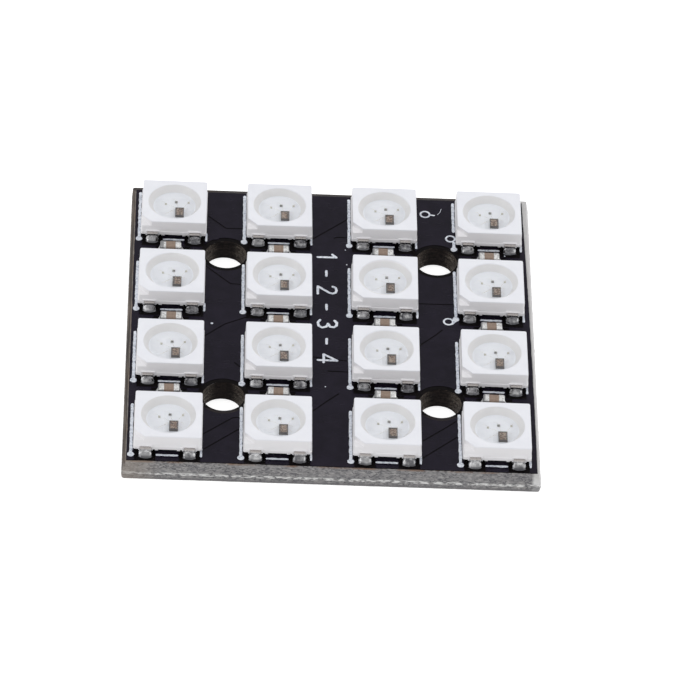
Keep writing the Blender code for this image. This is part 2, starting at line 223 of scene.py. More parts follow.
def board_outline(back, corner):
    """Points and outward directions around the board, set back from its widest outline."""
    arcs = []
    for turn, (across, along) in enumerate(CORNERS):
        radius = corner if along < 0 else corner * REAR_CORNER
        centre = Vector((across * (board_high.x - back - radius), along * (board_high.y - back - radius)))
        for step in range(CORNER_STEPS + 1):
            angle = (turn + step / CORNER_STEPS) * math.pi / 2.0
            out = Vector((math.cos(angle), math.sin(angle)))
            arcs.append((centre + out * radius, out))
    points = []
    for index, (place, out) in enumerate(arcs):
        points.append((place, out))
        if index % (CORNER_STEPS + 1) == CORNER_STEPS:
            following = arcs[(index + 1) % len(arcs)][0]
            for step in range(1, EDGE_STEPS):
                points.append((place.lerp(following, step / EDGE_STEPS), out))
    return points


def grain(place, height, wide, high):
    """Noise at a point, in cells of a width and a height in millimetres."""
    return noise.noise(Vector((place.x / (wide * MM), place.y / (wide * MM), height / (high * MM))))


def torn(place, height, depth):
    """How far the broken glass is torn back from the outline at one point."""
    coarse, fine = grain(place, height, 0.30, 0.07), grain(place, height, 0.11, 0.05)
    return depth * max(0.0, 0.5 + 0.55 * coarse + 0.35 * fine)


def laminate_levels():
    """Height, set-back and depth of tear of each ring of points up the edge."""
    bottom, top = UNDER_COAT, BOARD_TOP - COAT
    for step in range(FOOT_STEPS):
        height = bottom + (WEB_LOW - bottom) * step / FOOT_STEPS
        yield height, (WEB_LOW - height) * SCORE_LEAN, TEAR["foot"] * MM
    for step in range(WEB_STEPS + 1):
        height = WEB_LOW + (WEB_HIGH - WEB_LOW) * step / WEB_STEPS
        yield height, 0.0, TEAR["web edge" if step in (0, WEB_STEPS) else "web"] * MM
    for step in range(1, FLANK_STEPS + 1):
        height = WEB_HIGH + (top - WEB_HIGH) * step / FLANK_STEPS
        yield height, (height - WEB_HIGH) * SCORE_LEAN, TEAR["flank" if step < FLANK_STEPS else "rim"] * MM


def disc_outline(centre, radius, steps):
    ring = (math.tau * step / steps for step in range(steps))
    return [(centre[0] + radius * math.cos(a), centre[1] + radius * math.sin(a)) for a in ring]


def skin(bm, loops, finish=0):
    """Walls between successive loops of as many points each."""
    for near, far in zip(loops[:-1], loops[1:]):
        for index, corner in enumerate(near):
            face = bm.faces.new((corner, near[index - 1], far[index - 1], far[index]))
            face.material_index = finish


def edge_rings(bm):
    """Rings of points up the snapped edge, whose score is shallower at the rear, left and front."""
    for height, back, depth in laminate_levels():
        corner = CORNER_ROUND + WEB_CORNER_EXTRA * (1.0 - min(1.0, back / CORNER_FADE))
        ring = []
        for place, out in board_outline(back, corner):
            shallow = back * (1.0 - SCORE_SHARE["rear"]) * max(0.0, out.y) ** 2
            shallow += back * (1.0 - SCORE_SHARE["left"]) * max(0.0, -out.x) ** 2
            if height < WEB_LOW:
                shallow += back * FRONT_FOOT * max(0.0, -out.y) ** 2
            pulled = place + out * (shallow - torn(place, height, depth))
            ring.append(bm.verts.new((pulled.x, pulled.y, height)))
        yield ring


def bore_rings(bm, centre):
    """Rings of points up a drilled bore, which leans and narrows a little towards its foot."""
    for step in range(BORE_STEPS + 1):
        height = UNDER_COAT + (BOARD_TOP - COAT - UNDER_COAT) * step / BORE_STEPS
        drop = 1.0 - step / BORE_STEPS
        middle = Vector(centre) + BORE_LEAN * drop
        ring = []
        for point in disc_outline(middle, HOLE_RADIUS + (BORE_FOOT - HOLE_RADIUS) * drop, HOLE_STEPS):
            place = Vector(point)
            wide = (place - middle) * BORE_CHATTER * grain(place, height, 0.2, 0.06)
            ring.append(bm.verts.new((place.x + wide.x, place.y + wide.y, height)))
        yield ring


def laminate_core():
    bm = bmesh.new()
    edge = list(edge_rings(bm))
    skin(bm, edge)
    bottoms, tops = [edge[0]], [edge[-1]]
    for centre in HOLE_CENTRES:
        bore = list(bore_rings(bm, centre))
        skin(bm, bore, finish=1)
        bottoms.append(bore[0])
        tops.append(bore[-1])
    for loops in (bottoms, tops):
        corners = [corner for loop in loops for corner in loop]
        for triangle in tessellate_polygon([[corner.co for corner in loop] for loop in loops]):
            bm.faces.new([corners[index] for index in triangle])
    return to_mesh(bm, "laminate", smooth=50.0)


def mottle_group():
    """Soft cloudy variation in the piece's own coordinates, with its cells per millimetre given."""
    group = bpy.data.node_groups.new("mottle", "ShaderNodeTree")
    sockets = group.interface
    sockets.new_socket("Cells", in_out="INPUT", socket_type="NodeSocketVector")
    sockets.new_socket("Detail", in_out="INPUT", socket_type="NodeSocketFloat")
    sockets.new_socket("Amount", in_out="OUTPUT", socket_type="NodeSocketFloat")
    given = add_node(group, "NodeGroupInput").outputs
    place = add_node(group, "ShaderNodeTexCoord")
    scaled = add_node(
        group, "ShaderNodeVectorMath", {0: place.outputs["Object"], 1: given["Cells"]},
        operation="MULTIPLY",
    )
    cloud = add_node(
        group, "ShaderNodeTexNoise",
        {"Vector": scaled.outputs[0], "Scale": 1.0 / MM, "Detail": given["Detail"]},
    )
    add_node(group, "NodeGroupOutput", {"Amount": cloud.outputs["Fac"]})
    return group


MOTTLE = mottle_group()


def mottle(tree, cells, detail=3.0):
    """Mottle with as many cells to the millimetre, given as one number or along X, Y and Z."""
    cells = cells if isinstance(cells, tuple) else (cells, cells, cells)
    made = add_node(tree, "ShaderNodeGroup", node_tree=MOTTLE)
    made.inputs["Cells"].default_value = cells
    made.inputs["Detail"].default_value = detail
    return made.outputs["Amount"]


def ramp(value, *stops):
    """Colours along a value, as (position, (red, green, blue)) stops."""
    made = add_node(value.id_data, "ShaderNodeValToRGB", {"Fac": value})
    marks = made.color_ramp.elements
    while len(marks) < len(stops):
        marks.new(1.0)
    for mark, (position, colour) in zip(marks, stops):
        mark.position = position
        mark.color = (*colour, 1.0)
    return made.outputs["Color"]


def band(value, start, end, low=0.0, high=1.0):
    """Ease a value from low to high between start and end."""
    made = add_node(
        value.id_data, "ShaderNodeMapRange",
        {"Value": value, "From Min": start, "From Max": end, "To Min": low, "To Max": high},
        interpolation_type="SMOOTHSTEP",
    )
    return made.outputs[0]


def between(place, start, end, low=0.0, high=1.0):
    """The same between two places in millimetres."""
    return band(place, start * MM, end * MM, low, high)


def blend(amount, under, over):
    """Lay one colour over another by an amount."""
    tree = amount.id_data
    made = add_node(tree, "ShaderNodeMix", {"Factor": amount}, data_type="RGBA")
    for index, colour in ((6, under), (7, over)):
        if isinstance(colour, bpy.types.NodeSocket):
            tree.links.new(colour, made.inputs[index])
        else:
            made.inputs[index].default_value = (*colour, 1.0)
    return made.outputs[2]


def own_place(tree):
    """The piece's own X, Y and Z."""
    place = add_node(tree, "ShaderNodeTexCoord")
    return add_node(tree, "ShaderNodeSeparateXYZ", {0: place.outputs["Object"]}).outputs


def apart(value, middle):
    """How far a value is from a middle, to either side."""
    return reckon("ABSOLUTE", less(value, middle))


def relief(shader, height, strength, depth):
    """Shade a surface as if it rose with a value, by up to a depth in millimetres."""
    made = add_node(
        shader.id_data, "ShaderNodeBump",
        {"Height": height, "Strength": strength, "Distance": depth * MM},
    )
    feed(shader, Normal=made.outputs[0])


def glass_epoxy():
    """Cut glass bundles as short dark seams and pale flecks in grey resin, with a torn white web."""
    material, tree, shader = new_finish("glass_epoxy", Roughness=0.62)
    across, along, height = own_place(tree)
    place = add_node(tree, "ShaderNodeTexCoord")
    flattened = add_node(
        tree, "ShaderNodeVectorMath", {0: place.outputs["Object"], 1: (1.0, 1.0, 3.4)},
        operation="MULTIPLY",
    )
    bundles = add_node(
        tree, "ShaderNodeTexNoise",
        {"Vector": flattened.outputs[0], "Scale": 2.3 / MM, "Detail": 2.5, "Distortion": 0.35},
    ).outputs["Fac"]
    seams = times(band(apart(bundles, 0.5), 0.014, 0.062, 0.95, 0.0),
                  band(mottle(tree, (1.4, 1.4, 3.6), 2.0), 0.34, 0.50))
    flecks = band(mottle(tree, (3.2, 3.2, 10.0)), 0.52, 0.66, 0.0, 0.7)
    resin = ramp(mottle(tree, (2.4, 2.4, 6.0)),
                 (0.36, (0.185, 0.182, 0.190)), (0.64, (0.305, 0.295, 0.292)))
    colour = blend(flecks, resin, (0.42, 0.41, 0.405))
    colour = blend(seams, colour, (0.080, 0.080, 0.090))
    web = times(between(height, 0.41, 0.51), between(height, 0.64, 0.76, 1.0, 0.0))
    frayed = times(web, band(mottle(tree, (2.0, 2.0, 8.0), 4.0), 0.44, 0.55))
    colour = blend(frayed, colour, (0.78, 0.78, 0.77))
    # Painted shade: the flank below the web is painted darker towards its foot, where it meets the card.
    foot = between(height, 0.14, 0.36, 0.6, 0.0)
    colour = blend(foot, colour, (0.15, 0.145, 0.15))
    scorch = times(between(height, 1.43, 1.53), band(mottle(tree, 0.5), 0.42, 0.58, 0.05, 0.75))
    scorch = times(scorch, between(across, 14.1, 14.4, 1.0, 0.15))
    colour = blend(scorch, colour, (0.20, 0.115, 0.07))
    warm = between(across, -12.0, -15.0, 0.0, 0.5)
    colour = blend(warm, colour, (0.34, 0.29, 0.245))
    # Painted shade: the left flank, turned from the light, is painted darker than the front, with sawn
    # streaks in it, and nearly black on its lower part.
    left = times(between(height, 0.30, 0.45), between(across, -14.98, -15.06, 0.0, 0.95))
    left = times(left, between(along, -15.50, -15.36))
    sawn = ramp(mottle(tree, (8.0, 0.25, 8.0), 2.0), (0.40, (0.035, 0.028, 0.026)),
                (0.52, (0.095, 0.074, 0.060)), (0.64, (0.17, 0.14, 0.12)))
    sawn = blend(between(height, 1.00, 1.30, 0.85, 0.0), sawn, (0.012, 0.011, 0.011))
    colour = blend(left, colour, sawn)
    # Painted light: the right flank, which faces the light from the right, is painted pale, palest low
    # down.
    right = times(between(height, 0.50, 0.85, 0.25, 1.0), between(across, 14.50, 14.80, 0.0, 0.75))
    lit_right_flank = ramp(between(height, 0.65, 1.50), (0.0, (0.88, 0.88, 0.88)), (1.0, (0.70, 0.695, 0.69)))
    colour = blend(right, colour, lit_right_flank)
    rear = times(between(height, 1.10, 1.40), between(along, 15.1, 15.2, 0.0, 0.9))
    rear = times(rear, between(across, 14.2, 14.5, 1.0, 0.0))
    colour = blend(rear, colour, (0.028, 0.022, 0.020))
    feed(shader, Base_Color=colour)
    relief(shader, bundles, 0.6, 0.06)
    return material


def drilled_wall():
    """A drilled bore: burnished resin, painted nearly black at its middle as painted shade, with paler
    rings of fibre beside.
    """
    material, tree, shader = new_finish("drilled_wall", Roughness=0.5, Specular_IOR_Level=0.07)
    rings, chatter = mottle(tree, (0.9, 0.9, 9.0), 4.0), mottle(tree, 6.0, 2.0)
    fibre = reckon("ADD", times(rings, 0.6), times(chatter, 0.4))
    # Painted shade: the bore is painted darkest at its middle across, where its wall is turned from the
    # light, and paler to either side.
    offset = apart(reckon("ABSOLUTE", own_place(tree)["X"]), HOLE_CENTRES[3][0])
    beside = between(offset, 0.45, 1.35)
    dark = ramp(fibre, (0.42, (0.007, 0.0055, 0.0055)), (0.62, (0.028, 0.021, 0.019)))
    pale = ramp(fibre, (0.40, (0.028, 0.021, 0.018)), (0.52, (0.078, 0.062, 0.053)),
                (0.64, (0.165, 0.145, 0.120)))
    glints = times(beside, band(mottle(tree, 13.0, 2.0), 0.60, 0.68))
    feed(shader, Base_Color=blend(glints, blend(beside, dark, pale), (0.30, 0.28, 0.23)))
    relief(shader, fibre, 0.7, 0.04)
    return material


laminate = made_piece("laminate", laminate_core(), [glass_epoxy(), drilled_wall()], "laminate")
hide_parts("circuit_board")

# ---- Copper and solder resist ----
# Etched copper under a glossy black resist. The resist follows it: it stands high over the copper
# and low where the copper is etched away, in thin gaps beside the tracks, round holes and at pads.
PITCH = 8.0 * MM
GAP_DEPTH = 0.03 * MM
TRACK_GAP_LIFT = 0.004 * MM
RESIST_BACK = {"left": 0.34 * MM, "right": 0.465 * MM, "front": 0.34 * MM, "rear": 0.42 * MM}
RESIST_SLANT = 0.115 * MM
RESIST_BOW = 0.085 * MM
RESIST_STEPS = 90
CHIPPING = 0.04 * MM
CHIP_WIDTH = 0.4 * MM
HOLE_RELIEF = 0.34 * MM
LIP = ((-9.25, -9.60), (-10.0, -9.9))
TRACK_GAP = 0.10
TRACK_GAPS = [
    [(-10.6, 13.56), (-8.02, 10.97), (-6.2, 11.0)], [(-10.2, 7.2), (-7.6, 4.55), (-6.0, 4.5)],
    [(-10.4, -2.35), (-7.97, -0.05), (-6.0, 1.0)], [(-7.2, -4.35), (-6.2, -5.45)],
    [(-10.6, -13.28), (-7.28, -10.39), (-6.0, -10.2)], [(-10.6, -15.0), (-6.9, -11.67), (-5.8, -11.4)],
    [(-2.4, 9.14), (1.17, 12.42), (2.4, 13.5)], [(0.24, 10.24), (0.42, 10.36), (0.6, 10.38), (2.6, 10.2)],
    [(-1.4, -3.4), (0.32, -3.62), (2.4, -3.9)], [(-0.28, -4.92), (2.4, -4.99)],
    [(-2.3, -10.34), (-0.3, -8.19), (0.5, -7.4)], [(6.4, 3.0), (9.9, 3.03)],
    [(5.8, -2.5), (7.75, -0.55), (8.3, 0.1)],
    [(5.6, -13.14), (8.5, -10.58), (9.4, -9.7)], [(5.8, -14.8), (9.14, -11.7), (10.0, -11.0)],
]
PAD_WINDOW = {"centre": 1.62 * MM, "half": 0.78 * MM, "near": 2.05 * MM, "far": 3.32 * MM}
CHIP_WINDOW = {"half": 0.62 * MM, "near": 0.28 * MM, "far": 1.32 * MM}
WIRE_WINDOW_SPARE = 0.02 * MM
STROKE_STEP = 0.12
ENDS = (-1.0, 1.0)


def prism(bm, outline, low, high):
    """Add a closed upright prism to a bmesh."""
    lower = [bm.verts.new((x, y, low)) for x, y in outline]
    upper = [bm.verts.new((x, y, high)) for x, y in outline]
    skin(bm, [lower, upper])
    bm.faces.new(lower)
    bm.faces.new(upper)


def strip_outline(path, width, wander=0.0, ends=4):
    """Outline of a stroke along a path of points, with round ends and a slightly wandering edge."""
    points = [Vector(path[0])]
    for start, end in zip(path[:-1], path[1:]):
        start, end = Vector(start), Vector(end)
        count = max(1, round((end - start).length / STROKE_STEP)) if wander else 1
        points += [start.lerp(end, step / count) for step in range(1, count + 1)]
    left, right = [], []
    for index, point in enumerate(points):
        back = points[max(0, index - 1)]
        ahead = points[min(len(points) - 1, index + 1)]
        along = (ahead - back).normalized()
        side = Vector((-along.y, along.x))
        for edge, sign in ((left, 1.0), (right, -1.0)):
            wobble = wander * noise.noise(Vector((point.x * 4.0, point.y * 4.0, 7.0 * sign)))
            edge.append(point + side * sign * (width / 2.0 + wobble))

    def round_end(middle, start):
        turns = [Matrix.Rotation(-math.pi * step / ends, 2) for step in range(1, ends)]
        return [middle + turn @ (start - middle) for turn in turns]

    outline = left + round_end(points[-1], left[-1]) + right[::-1] + round_end(points[0], right[0])
    return [(x * MM, y * MM) for x, y in outline]


def box_outline(low_x, high_x, low_y, high_y):
    return [(low_x, low_y), (high_x, low_y), (high_x, high_y), (low_x, high_y)]


def solid_of(work, *helpers):
    """The mesh of an object with its modifiers, which is then removed with its helpers."""
    graph = bpy.context.evaluated_depsgraph_get()
    mesh = bpy.data.meshes.new_from_object(work.evaluated_get(graph))
    for done in (work, *helpers):
        bpy.data.objects.remove(done, do_unlink=True)
    return mesh


def combine(base, steps):
    """Join tool meshes to a base mesh, or cut them from it, one after another."""
    work = in_scene(base.name, base)
    tools = []
    for operation, mesh in steps:
        tools.append(in_scene(mesh.name, mesh))
        cut = work.modifiers.new(mesh.name, "BOOLEAN")
        cut.operation = operation
        cut.solver = "EXACT"
        cut.object = tools[-1]
    return solid_of(work, *tools)


def cutter(name, outlines, low, high):
    bm = bmesh.new()
    for outline in outlines:
        prism(bm, outline, low, high)
    return to_mesh(bm, name)


def grid_places(columns, rows):
    """Centres of a grid of places on the board, front row first."""
    for row in range(rows):
        for column in range(columns):
            x = (column - (columns - 1) / 2.0) * PITCH
            y = (row - (rows - 1) / 2.0) * PITCH
            yield x, y


def pad_windows():
    """Where the copper is etched away round each LED's four pads."""
    for x, y in grid_places(4, 4):
        for side in ENDS:
            for end in ENDS:
                low, high = sorted((y + end * PAD_WINDOW["near"], y + end * PAD_WINDOW["far"]))
                middle = x + side * PAD_WINDOW["centre"]
                yield box_outline(middle - PAD_WINDOW["half"], middle + PAD_WINDOW["half"], low, high)


def capacitor_windows():
    """The same round each capacitor's two pads."""
    for x, y in grid_places(4, 3):
        for end in ENDS:
            low, high = sorted((x + end * CHIP_WINDOW["near"], x + end * CHIP_WINDOW["far"]))
            yield box_outline(low, high, y - CHIP_WINDOW["half"], y + CHIP_WINDOW["half"])


def wire_windows():
    for number in (1, 2, 3):
        for end in ("input", "output"):
            low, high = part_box(f"{end}_pad_{number}")
            spare = WIRE_WINDOW_SPARE
            yield box_outline(low.x - spare, high.x + spare, low.y - spare, high.y + spare)


def resist_outline(seed):
    """Outline of the resist, set back by its own amount on each side, with a slightly chipped edge."""
    left, right = board_low.x + RESIST_BACK["left"], board_high.x - RESIST_BACK["right"]
    front, rear = board_low.y + RESIST_BACK["front"], board_high.y - RESIST_BACK["rear"]
    corners = [Vector(corner) for corner in box_outline(left, right, front, rear)]
    corners[1].x += RESIST_SLANT
    corners[2].x -= RESIST_SLANT
    outline = []
    for side, (start, end) in enumerate(zip(corners, corners[1:] + corners[:1])):
        along = (end - start).normalized()
        inward = Vector((-along.y, along.x))
        bow = RESIST_BOW if side == 1 else 0.0
        for step in range(RESIST_STEPS):
            place = start.lerp(end, step / RESIST_STEPS)
            chip = CHIPPING * noise.noise(Vector((place.x, place.y, seed * MM)) / CHIP_WIDTH)
            swell = bow * math.sin(math.pi * step / RESIST_STEPS)
            outline.append(tuple(place + inward * (max(0.0, chip) - swell)))
    return outline


def resist_plate(name, low, high, side):
    """One face's copper and resist as a single skin with its gaps sunk in the outer side."""
    bm = bmesh.new()
    prism(bm, resist_outline(3.0 * side), low, high)
    plate = to_mesh(bm, name)
    face, beyond = (high, high + MM) if side > 0 else (low, low - MM)
    floor = face - side * GAP_DEPTH
    through = (low - MM, high + MM)
    sunk = sorted((floor, beyond))
    shallow = sorted((floor + side * TRACK_GAP_LIFT, beyond))
    reliefs = [disc_outline(centre, HOLE_RADIUS + HOLE_RELIEF, HOLE_STEPS) for centre in HOLE_CENTRES]
    bores = [disc_outline(centre, HOLE_RADIUS, HOLE_STEPS) for centre in HOLE_CENTRES]
    if side < 0:
        bores = [disc_outline(Vector(centre) + BORE_LEAN, BORE_FOOT, HOLE_STEPS) for centre in HOLE_CENTRES]
    gaps = [strip_outline([(x * side, y) for x, y in path], TRACK_GAP) for path in TRACK_GAPS]
    steps = [("reliefs", reliefs, sunk)]
    if side > 0:
        steps += [("pad_windows", pad_windows(), sunk), ("chip_windows", capacitor_windows(), sunk)]
    else:
        steps.append(("wire_windows", wire_windows(), through))
    steps += [("track_gaps", gaps, shallow), ("bores", bores, through)]
    mesh = combine(plate, [("DIFFERENCE", cutter(label, shapes, *span)) for label, shapes, span in steps])
    for face_of_plate in mesh.polygons:
        raised = abs(face_of_plate.center.z - face) < GAP_DEPTH / 10.0
        face_of_plate.material_index = 0 if raised else 1
    return mesh


def black_resist():
    """Glossy black resist over copper: a cool near-black with fine orange peel and faint smears."""
    material, tree, shader = new_finish("black_resist", Specular_IOR_Level=0.12)
    colour = ramp(mottle(tree, 1.1), (0.35, (0.0080, 0.0058, 0.0138)), (0.65, (0.0115, 0.0086, 0.0186)))
    smear = band(mottle(tree, (0.5, 1.4, 1.0), 5.0), 0.4, 0.7, 0.14, 0.30)
    feed(shader, Base_Color=colour, Roughness=smear)
    relief(shader, mottle(tree, 9.0, 2.0), 0.12, 0.01)
    return material


def sunken_resist():
    """The same resist on bare laminate: browner, duller, darker, and paler at the front holes' lips."""
    material, tree, shader = new_finish("sunken_resist", Roughness=0.4, Specular_IOR_Level=0.05)
    colour = ramp(mottle(tree, 2.5), (0.35, (0.0030, 0.0022, 0.0026)), (0.65, (0.0058, 0.0044, 0.0048)))
    along = own_place(tree)["Y"]
    # Paler at the lips of the front holes.
    lip = times(between(along, *LIP[0]), between(along, *LIP[1]))
    feed(shader, Base_Color=blend(lip, colour, (0.030, 0.025, 0.026)))
    return material


resist, sunken = black_resist(), sunken_resist()
for name, low, high, side in (
    ("resist_top", BOARD_TOP - COAT, BOARD_TOP, 1.0), ("resist_under", 0.0, UNDER_COAT, -1.0),
):
    made_piece(name, resist_plate(name, low, high, side), [resist, sunken], "laminate")

# ---- Vias ----
# Drilled and plated holes between the copper of both faces. The resist closes over each of them as
# a low ring with a dimple in it. Their profile is a row of (radius, height) points.
VIA_PROFILE = [(0.0, -0.012), (0.12, -0.012), (0.17, 0.006), (0.24, 0.008), (0.30, 0.0), (0.30, -0.02),
               (0.0, -0.02)]
VIA_SIDES = 20
VIAS = [(0.70, 9.74), (-8.35, 2.6), (-0.6, 1.1), (8.9, -1.9), (-7.4, -2.2), (0.5, -11.9),
        (8.6, 4.6), (-8.8, 9.9), (0.9, 5.2), (8.3, 12.6), (-0.9, -14.4), (-9.0, -5.0)]


def turned(name, profile, sides, smooth=50.0):
    """Spin a profile in millimetres about the Z axis into a closed turned shape."""
    bm = bmesh.new()
    points = [bm.verts.new((radius * MM, 0.0, height * MM)) for radius, height in profile]
    edges = [bm.edges.new(pair) for pair in zip(points[:-1], points[1:])]
    bmesh.ops.spin(
        bm, geom=points + edges, axis=(0.0, 0.0, 1.0), cent=(0.0, 0.0, 0.0),
        angle=math.tau, steps=sides, use_merge=True,
    )
    bmesh.ops.remove_doubles(bm, verts=bm.verts, dist=0.0005 * MM)
    return to_mesh(bm, name, smooth)


def joined(name, placed):
    """One mesh from several (mesh, matrix) pairs."""
    bm = bmesh.new()
    for mesh, matrix in placed:
        start = len(bm.verts)
        bm.from_mesh(mesh)
        bm.verts.ensure_lookup_table()
        bmesh.ops.transform(bm, matrix=matrix, verts=bm.verts[start:])
    mesh = bpy.data.meshes.new(name)
    bm.to_mesh(mesh)
    bm.free()
    return mesh


via = turned("via", VIA_PROFILE, VIA_SIDES)
via_places = [Matrix.Translation((x * MM, y * MM, BOARD_TOP)) for x, y in VIAS]
made_piece("vias", joined("vias", [(via, place) for place in via_places]), [resist], "laminate")

# ---- Print ----
# White ink screened on the resist: a line down each long side of an LED, a line at its front and
# back, a dot at its first lead, three small rings, and plain row numerals down the middle.
INK = 0.014 * MM
INK_ROOT = 0.02 * MM
RAGGED = 0.035
LED_PRINT = [
    ([(-2.66, 2.66), (-2.66, -2.50)], 0.22), ([(-0.77, -2.69), (0.72, -2.69)], 0.18),
    ([(-0.75, 2.66), (0.75, 2.66)], 0.21), ([(2.45, -1.9), (2.45, -2.70)], 0.16),
]
DOT_PLACE = (-2.66, -2.69)
DOT_RADIUS = 0.25
DOT_STEPS = 18
DOT_RAGGED = 0.03
PRINT_NUDGES = ((0.01, 0.03), (0.01, 0.04), (0.01, 0.06), (0.04, 0.12))
RINGS = [((7.23, 13.44), 0.42), ((9.13, 10.65), 0.41), ((8.78, 1.07), 0.41)]
RING_LINE = 0.07
RING_STEPS = 24
RING_START = 0.2
RING_BREAK = (-0.62, -1.92)
RING_TAILS = [[(7.57, 13.40), (7.95, 13.36)], [(9.04, 0.80), (9.37, 1.19)]]
TAIL_WIDTH = 0.13
TAIL_RAGGED = 0.03
SCRATCH = [(8.19, 13.46), (8.39, 13.76), (8.49, 14.15)]
SCRATCH_WIDTH = 0.035
FLECKS = [((-8.95, -0.03), 0.10), ((-0.48, -6.66), 0.05), ((1.09, 8.91), 0.05), ((1.18, 7.2), 0.05),
          ((13.23, 8.85), 0.06)]
FLECK_SIDES = 7
NUMERALS = {
    "1": [[(0.12, 0.78), (0.36, 1.0)], [(0.36, 1.0), (0.36, 0.0)]],
    "2": [[(0.02, 0.80), (0.10, 0.95), (0.30, 1.0), (0.50, 0.95), (0.58, 0.78), (0.50, 0.58)],
          [(0.50, 0.58), (0.02, 0.0)], [(0.02, 0.0), (0.62, 0.0)]],
    "3": [[(0.03, 0.88), (0.20, 1.0), (0.42, 0.98), (0.56, 0.84), (0.52, 0.64), (0.28, 0.54)],
          [(0.28, 0.54), (0.52, 0.44), (0.60, 0.22), (0.46, 0.04), (0.20, 0.0), (0.0, 0.12)]],
    "4": [[(0.46, 0.0), (0.46, 1.0)], [(0.46, 1.0), (0.0, 0.30)], [(0.0, 0.30), (0.64, 0.30)]],
    "-": [[(0.12, 0.46), (0.52, 0.46)]],
}
NUMERAL_ROW = "1-2-3-4"
NUMERAL_HEIGHT = 1.42
NUMERAL_BASE = (-1.02, 8.5)
NUMERAL_STEP = 1.93
NUMERAL_LINE = 0.19
NUMERAL_RAGGED = 0.025
INK_LAP = 0.001


def ink_slab(bm, outline, lift=0.0):
    prism(bm, outline, BOARD_TOP - INK_ROOT, BOARD_TOP + INK + lift * MM)


def led_print():
    """The print that belongs to every LED, slightly ragged, and broken beside the ring it meets."""
    bm = bmesh.new()
    for index, (x, y) in enumerate(grid_places(4, 4)):
        marks = list(LED_PRINT)
        across, along = PRINT_NUDGES[index // 4]
        x, y = x + across * MM, y + along * MM
        if index == 15:
            (start, end), width = marks[0]
            marks[0] = ([start, (start[0], RING_BREAK[0])], width)
            marks.append(([(end[0], RING_BREAK[1]), end], width))
        for path, width in marks:
            moved = [(x / MM + right, y / MM + back) for right, back in path]
            ink_slab(bm, strip_outline(moved, width, RAGGED))
        spot = Vector((x / MM + DOT_PLACE[0], y / MM + DOT_PLACE[1]))
        dot = []
        for out in map(Vector, disc_outline((0.0, 0.0), 1.0, DOT_STEPS)):
            ragged = DOT_RAGGED * noise.noise((spot + out * 2.0).to_3d())
            dot.append(tuple((spot + out * (DOT_RADIUS + ragged)) * MM))
        ink_slab(bm, dot, 2.0 * INK_LAP)
    return to_mesh(bm, "led_print")


def numeral_print():
    """Row numerals with dashes between, reading towards the front with their tops to the right."""
    bm = bmesh.new()
    for index, mark in enumerate(NUMERAL_ROW):
        start = NUMERAL_BASE[1] - index * NUMERAL_STEP
        for order, stroke in enumerate(NUMERALS[mark]):
            path = [(NUMERAL_BASE[0] + up * NUMERAL_HEIGHT, start - across * NUMERAL_HEIGHT)
                    for across, up in stroke]
            ink_slab(bm, strip_outline(path, NUMERAL_LINE, NUMERAL_RAGGED), INK_LAP * order)
    return to_mesh(bm, "numeral_print")


def ring_print():
    """The rings with their tails, a hair of ink beside the first, and a few stray flecks."""
    bm = bmesh.new()
    for centre, radius in RINGS:
        middle = radius - RING_LINE
        path = []
        for step in range(RING_STEPS):
            angle = math.tau * step / RING_STEPS + RING_START
            path.append((centre[0] + middle * math.cos(angle), centre[1] + middle * math.sin(angle)))
        outer = [Vector(point).lerp(Vector(centre), -RING_LINE / middle) for point in path]
        inner = [Vector(point).lerp(Vector(centre), RING_LINE / middle) for point in path]
        loops = []
        for edge, height in ((outer, -INK_ROOT), (outer, INK), (inner, INK), (inner, -INK_ROOT)):
            loops.append([bm.verts.new((p.x * MM, p.y * MM, BOARD_TOP + height)) for p in edge])
        skin(bm, loops + [loops[0]])
    for tail in RING_TAILS:
        ink_slab(bm, strip_outline(tail, TAIL_WIDTH, TAIL_RAGGED), INK_LAP)
    ink_slab(bm, strip_outline(SCRATCH, SCRATCH_WIDTH), -6.0 * INK_LAP)
    for place, radius in FLECKS:
        ink_slab(bm, [(x * MM, y * MM) for x, y in disc_outline(place, radius, FLECK_SIDES)])
    return to_mesh(bm, "ring_print")


def clouded(name, cells, *stops, detail=3.0, waves=None, **values):
    """A finish that drifts between colours, with waves as (cells, detail, strength, depth)."""
    material, tree, shader = new_finish(name, **values)
    feed(shader, Base_Color=ramp(mottle(tree, cells, detail), *stops))
    if waves:
        cells, detail, strength, depth = waves
        relief(shader, mottle(tree, cells, detail), strength, depth)
    return material


# Thin white ink lets a little of the black show through in patches.
white_ink = clouded(
    "white_ink", 6.0, (0.33, (0.50, 0.54, 0.62)), (0.48, (0.76, 0.80, 0.88)), (0.62, (0.86, 0.89, 0.95)),
    detail=4.0, waves=(18.0, 2.0, 0.4, 0.008), Roughness=0.55,
)
for printed in (led_print(), numeral_print(), ring_print()):
    made_piece(printed.name, printed, [white_ink], "housing")

# ---- LED housings ----
# Each LED is moulded round its lead frame in white heat-proof plastic: drafted walls with a round
# reflector cup, one cut corner, four lead windows with raised frames, and small feet under the skirt.
# Its lengths are in millimetres from its middle, and its heights are over the board.
HOUSING_HALF = 2.5
WALL_HALF = 2.455
HOUSING_TOP = 1.65
HOUSING_CORNER = 0.13
RIM_ROUND = 0.06
SKIRT = 0.40
LEDGE = 0.67
PLINTH_HALF = 2.05
PLINTH_LOW = 0.05
CUP_RADIUS = 2.0
CUP_FLOOR_RADIUS = 1.62
CUP_FLOOR = 0.73
CUP_SLOPE = (CUP_RADIUS - CUP_FLOOR_RADIUS) / (HOUSING_TOP - CUP_FLOOR)
CUP_LIP = 0.03
CUP_SIDES = 72
LEAD_CENTRES = (-1.60, 1.60)
LEAD_HALF = 0.40
LEAD_TOP = 0.70
FRAME_WIDTH = 0.11
FRAME_TOP = 0.785
FRAME_SPAN = (2.35, 2.56)
OPENING_SPAN = (2.32, 2.90)
NUB_CENTRES = (-0.80, 0.80)
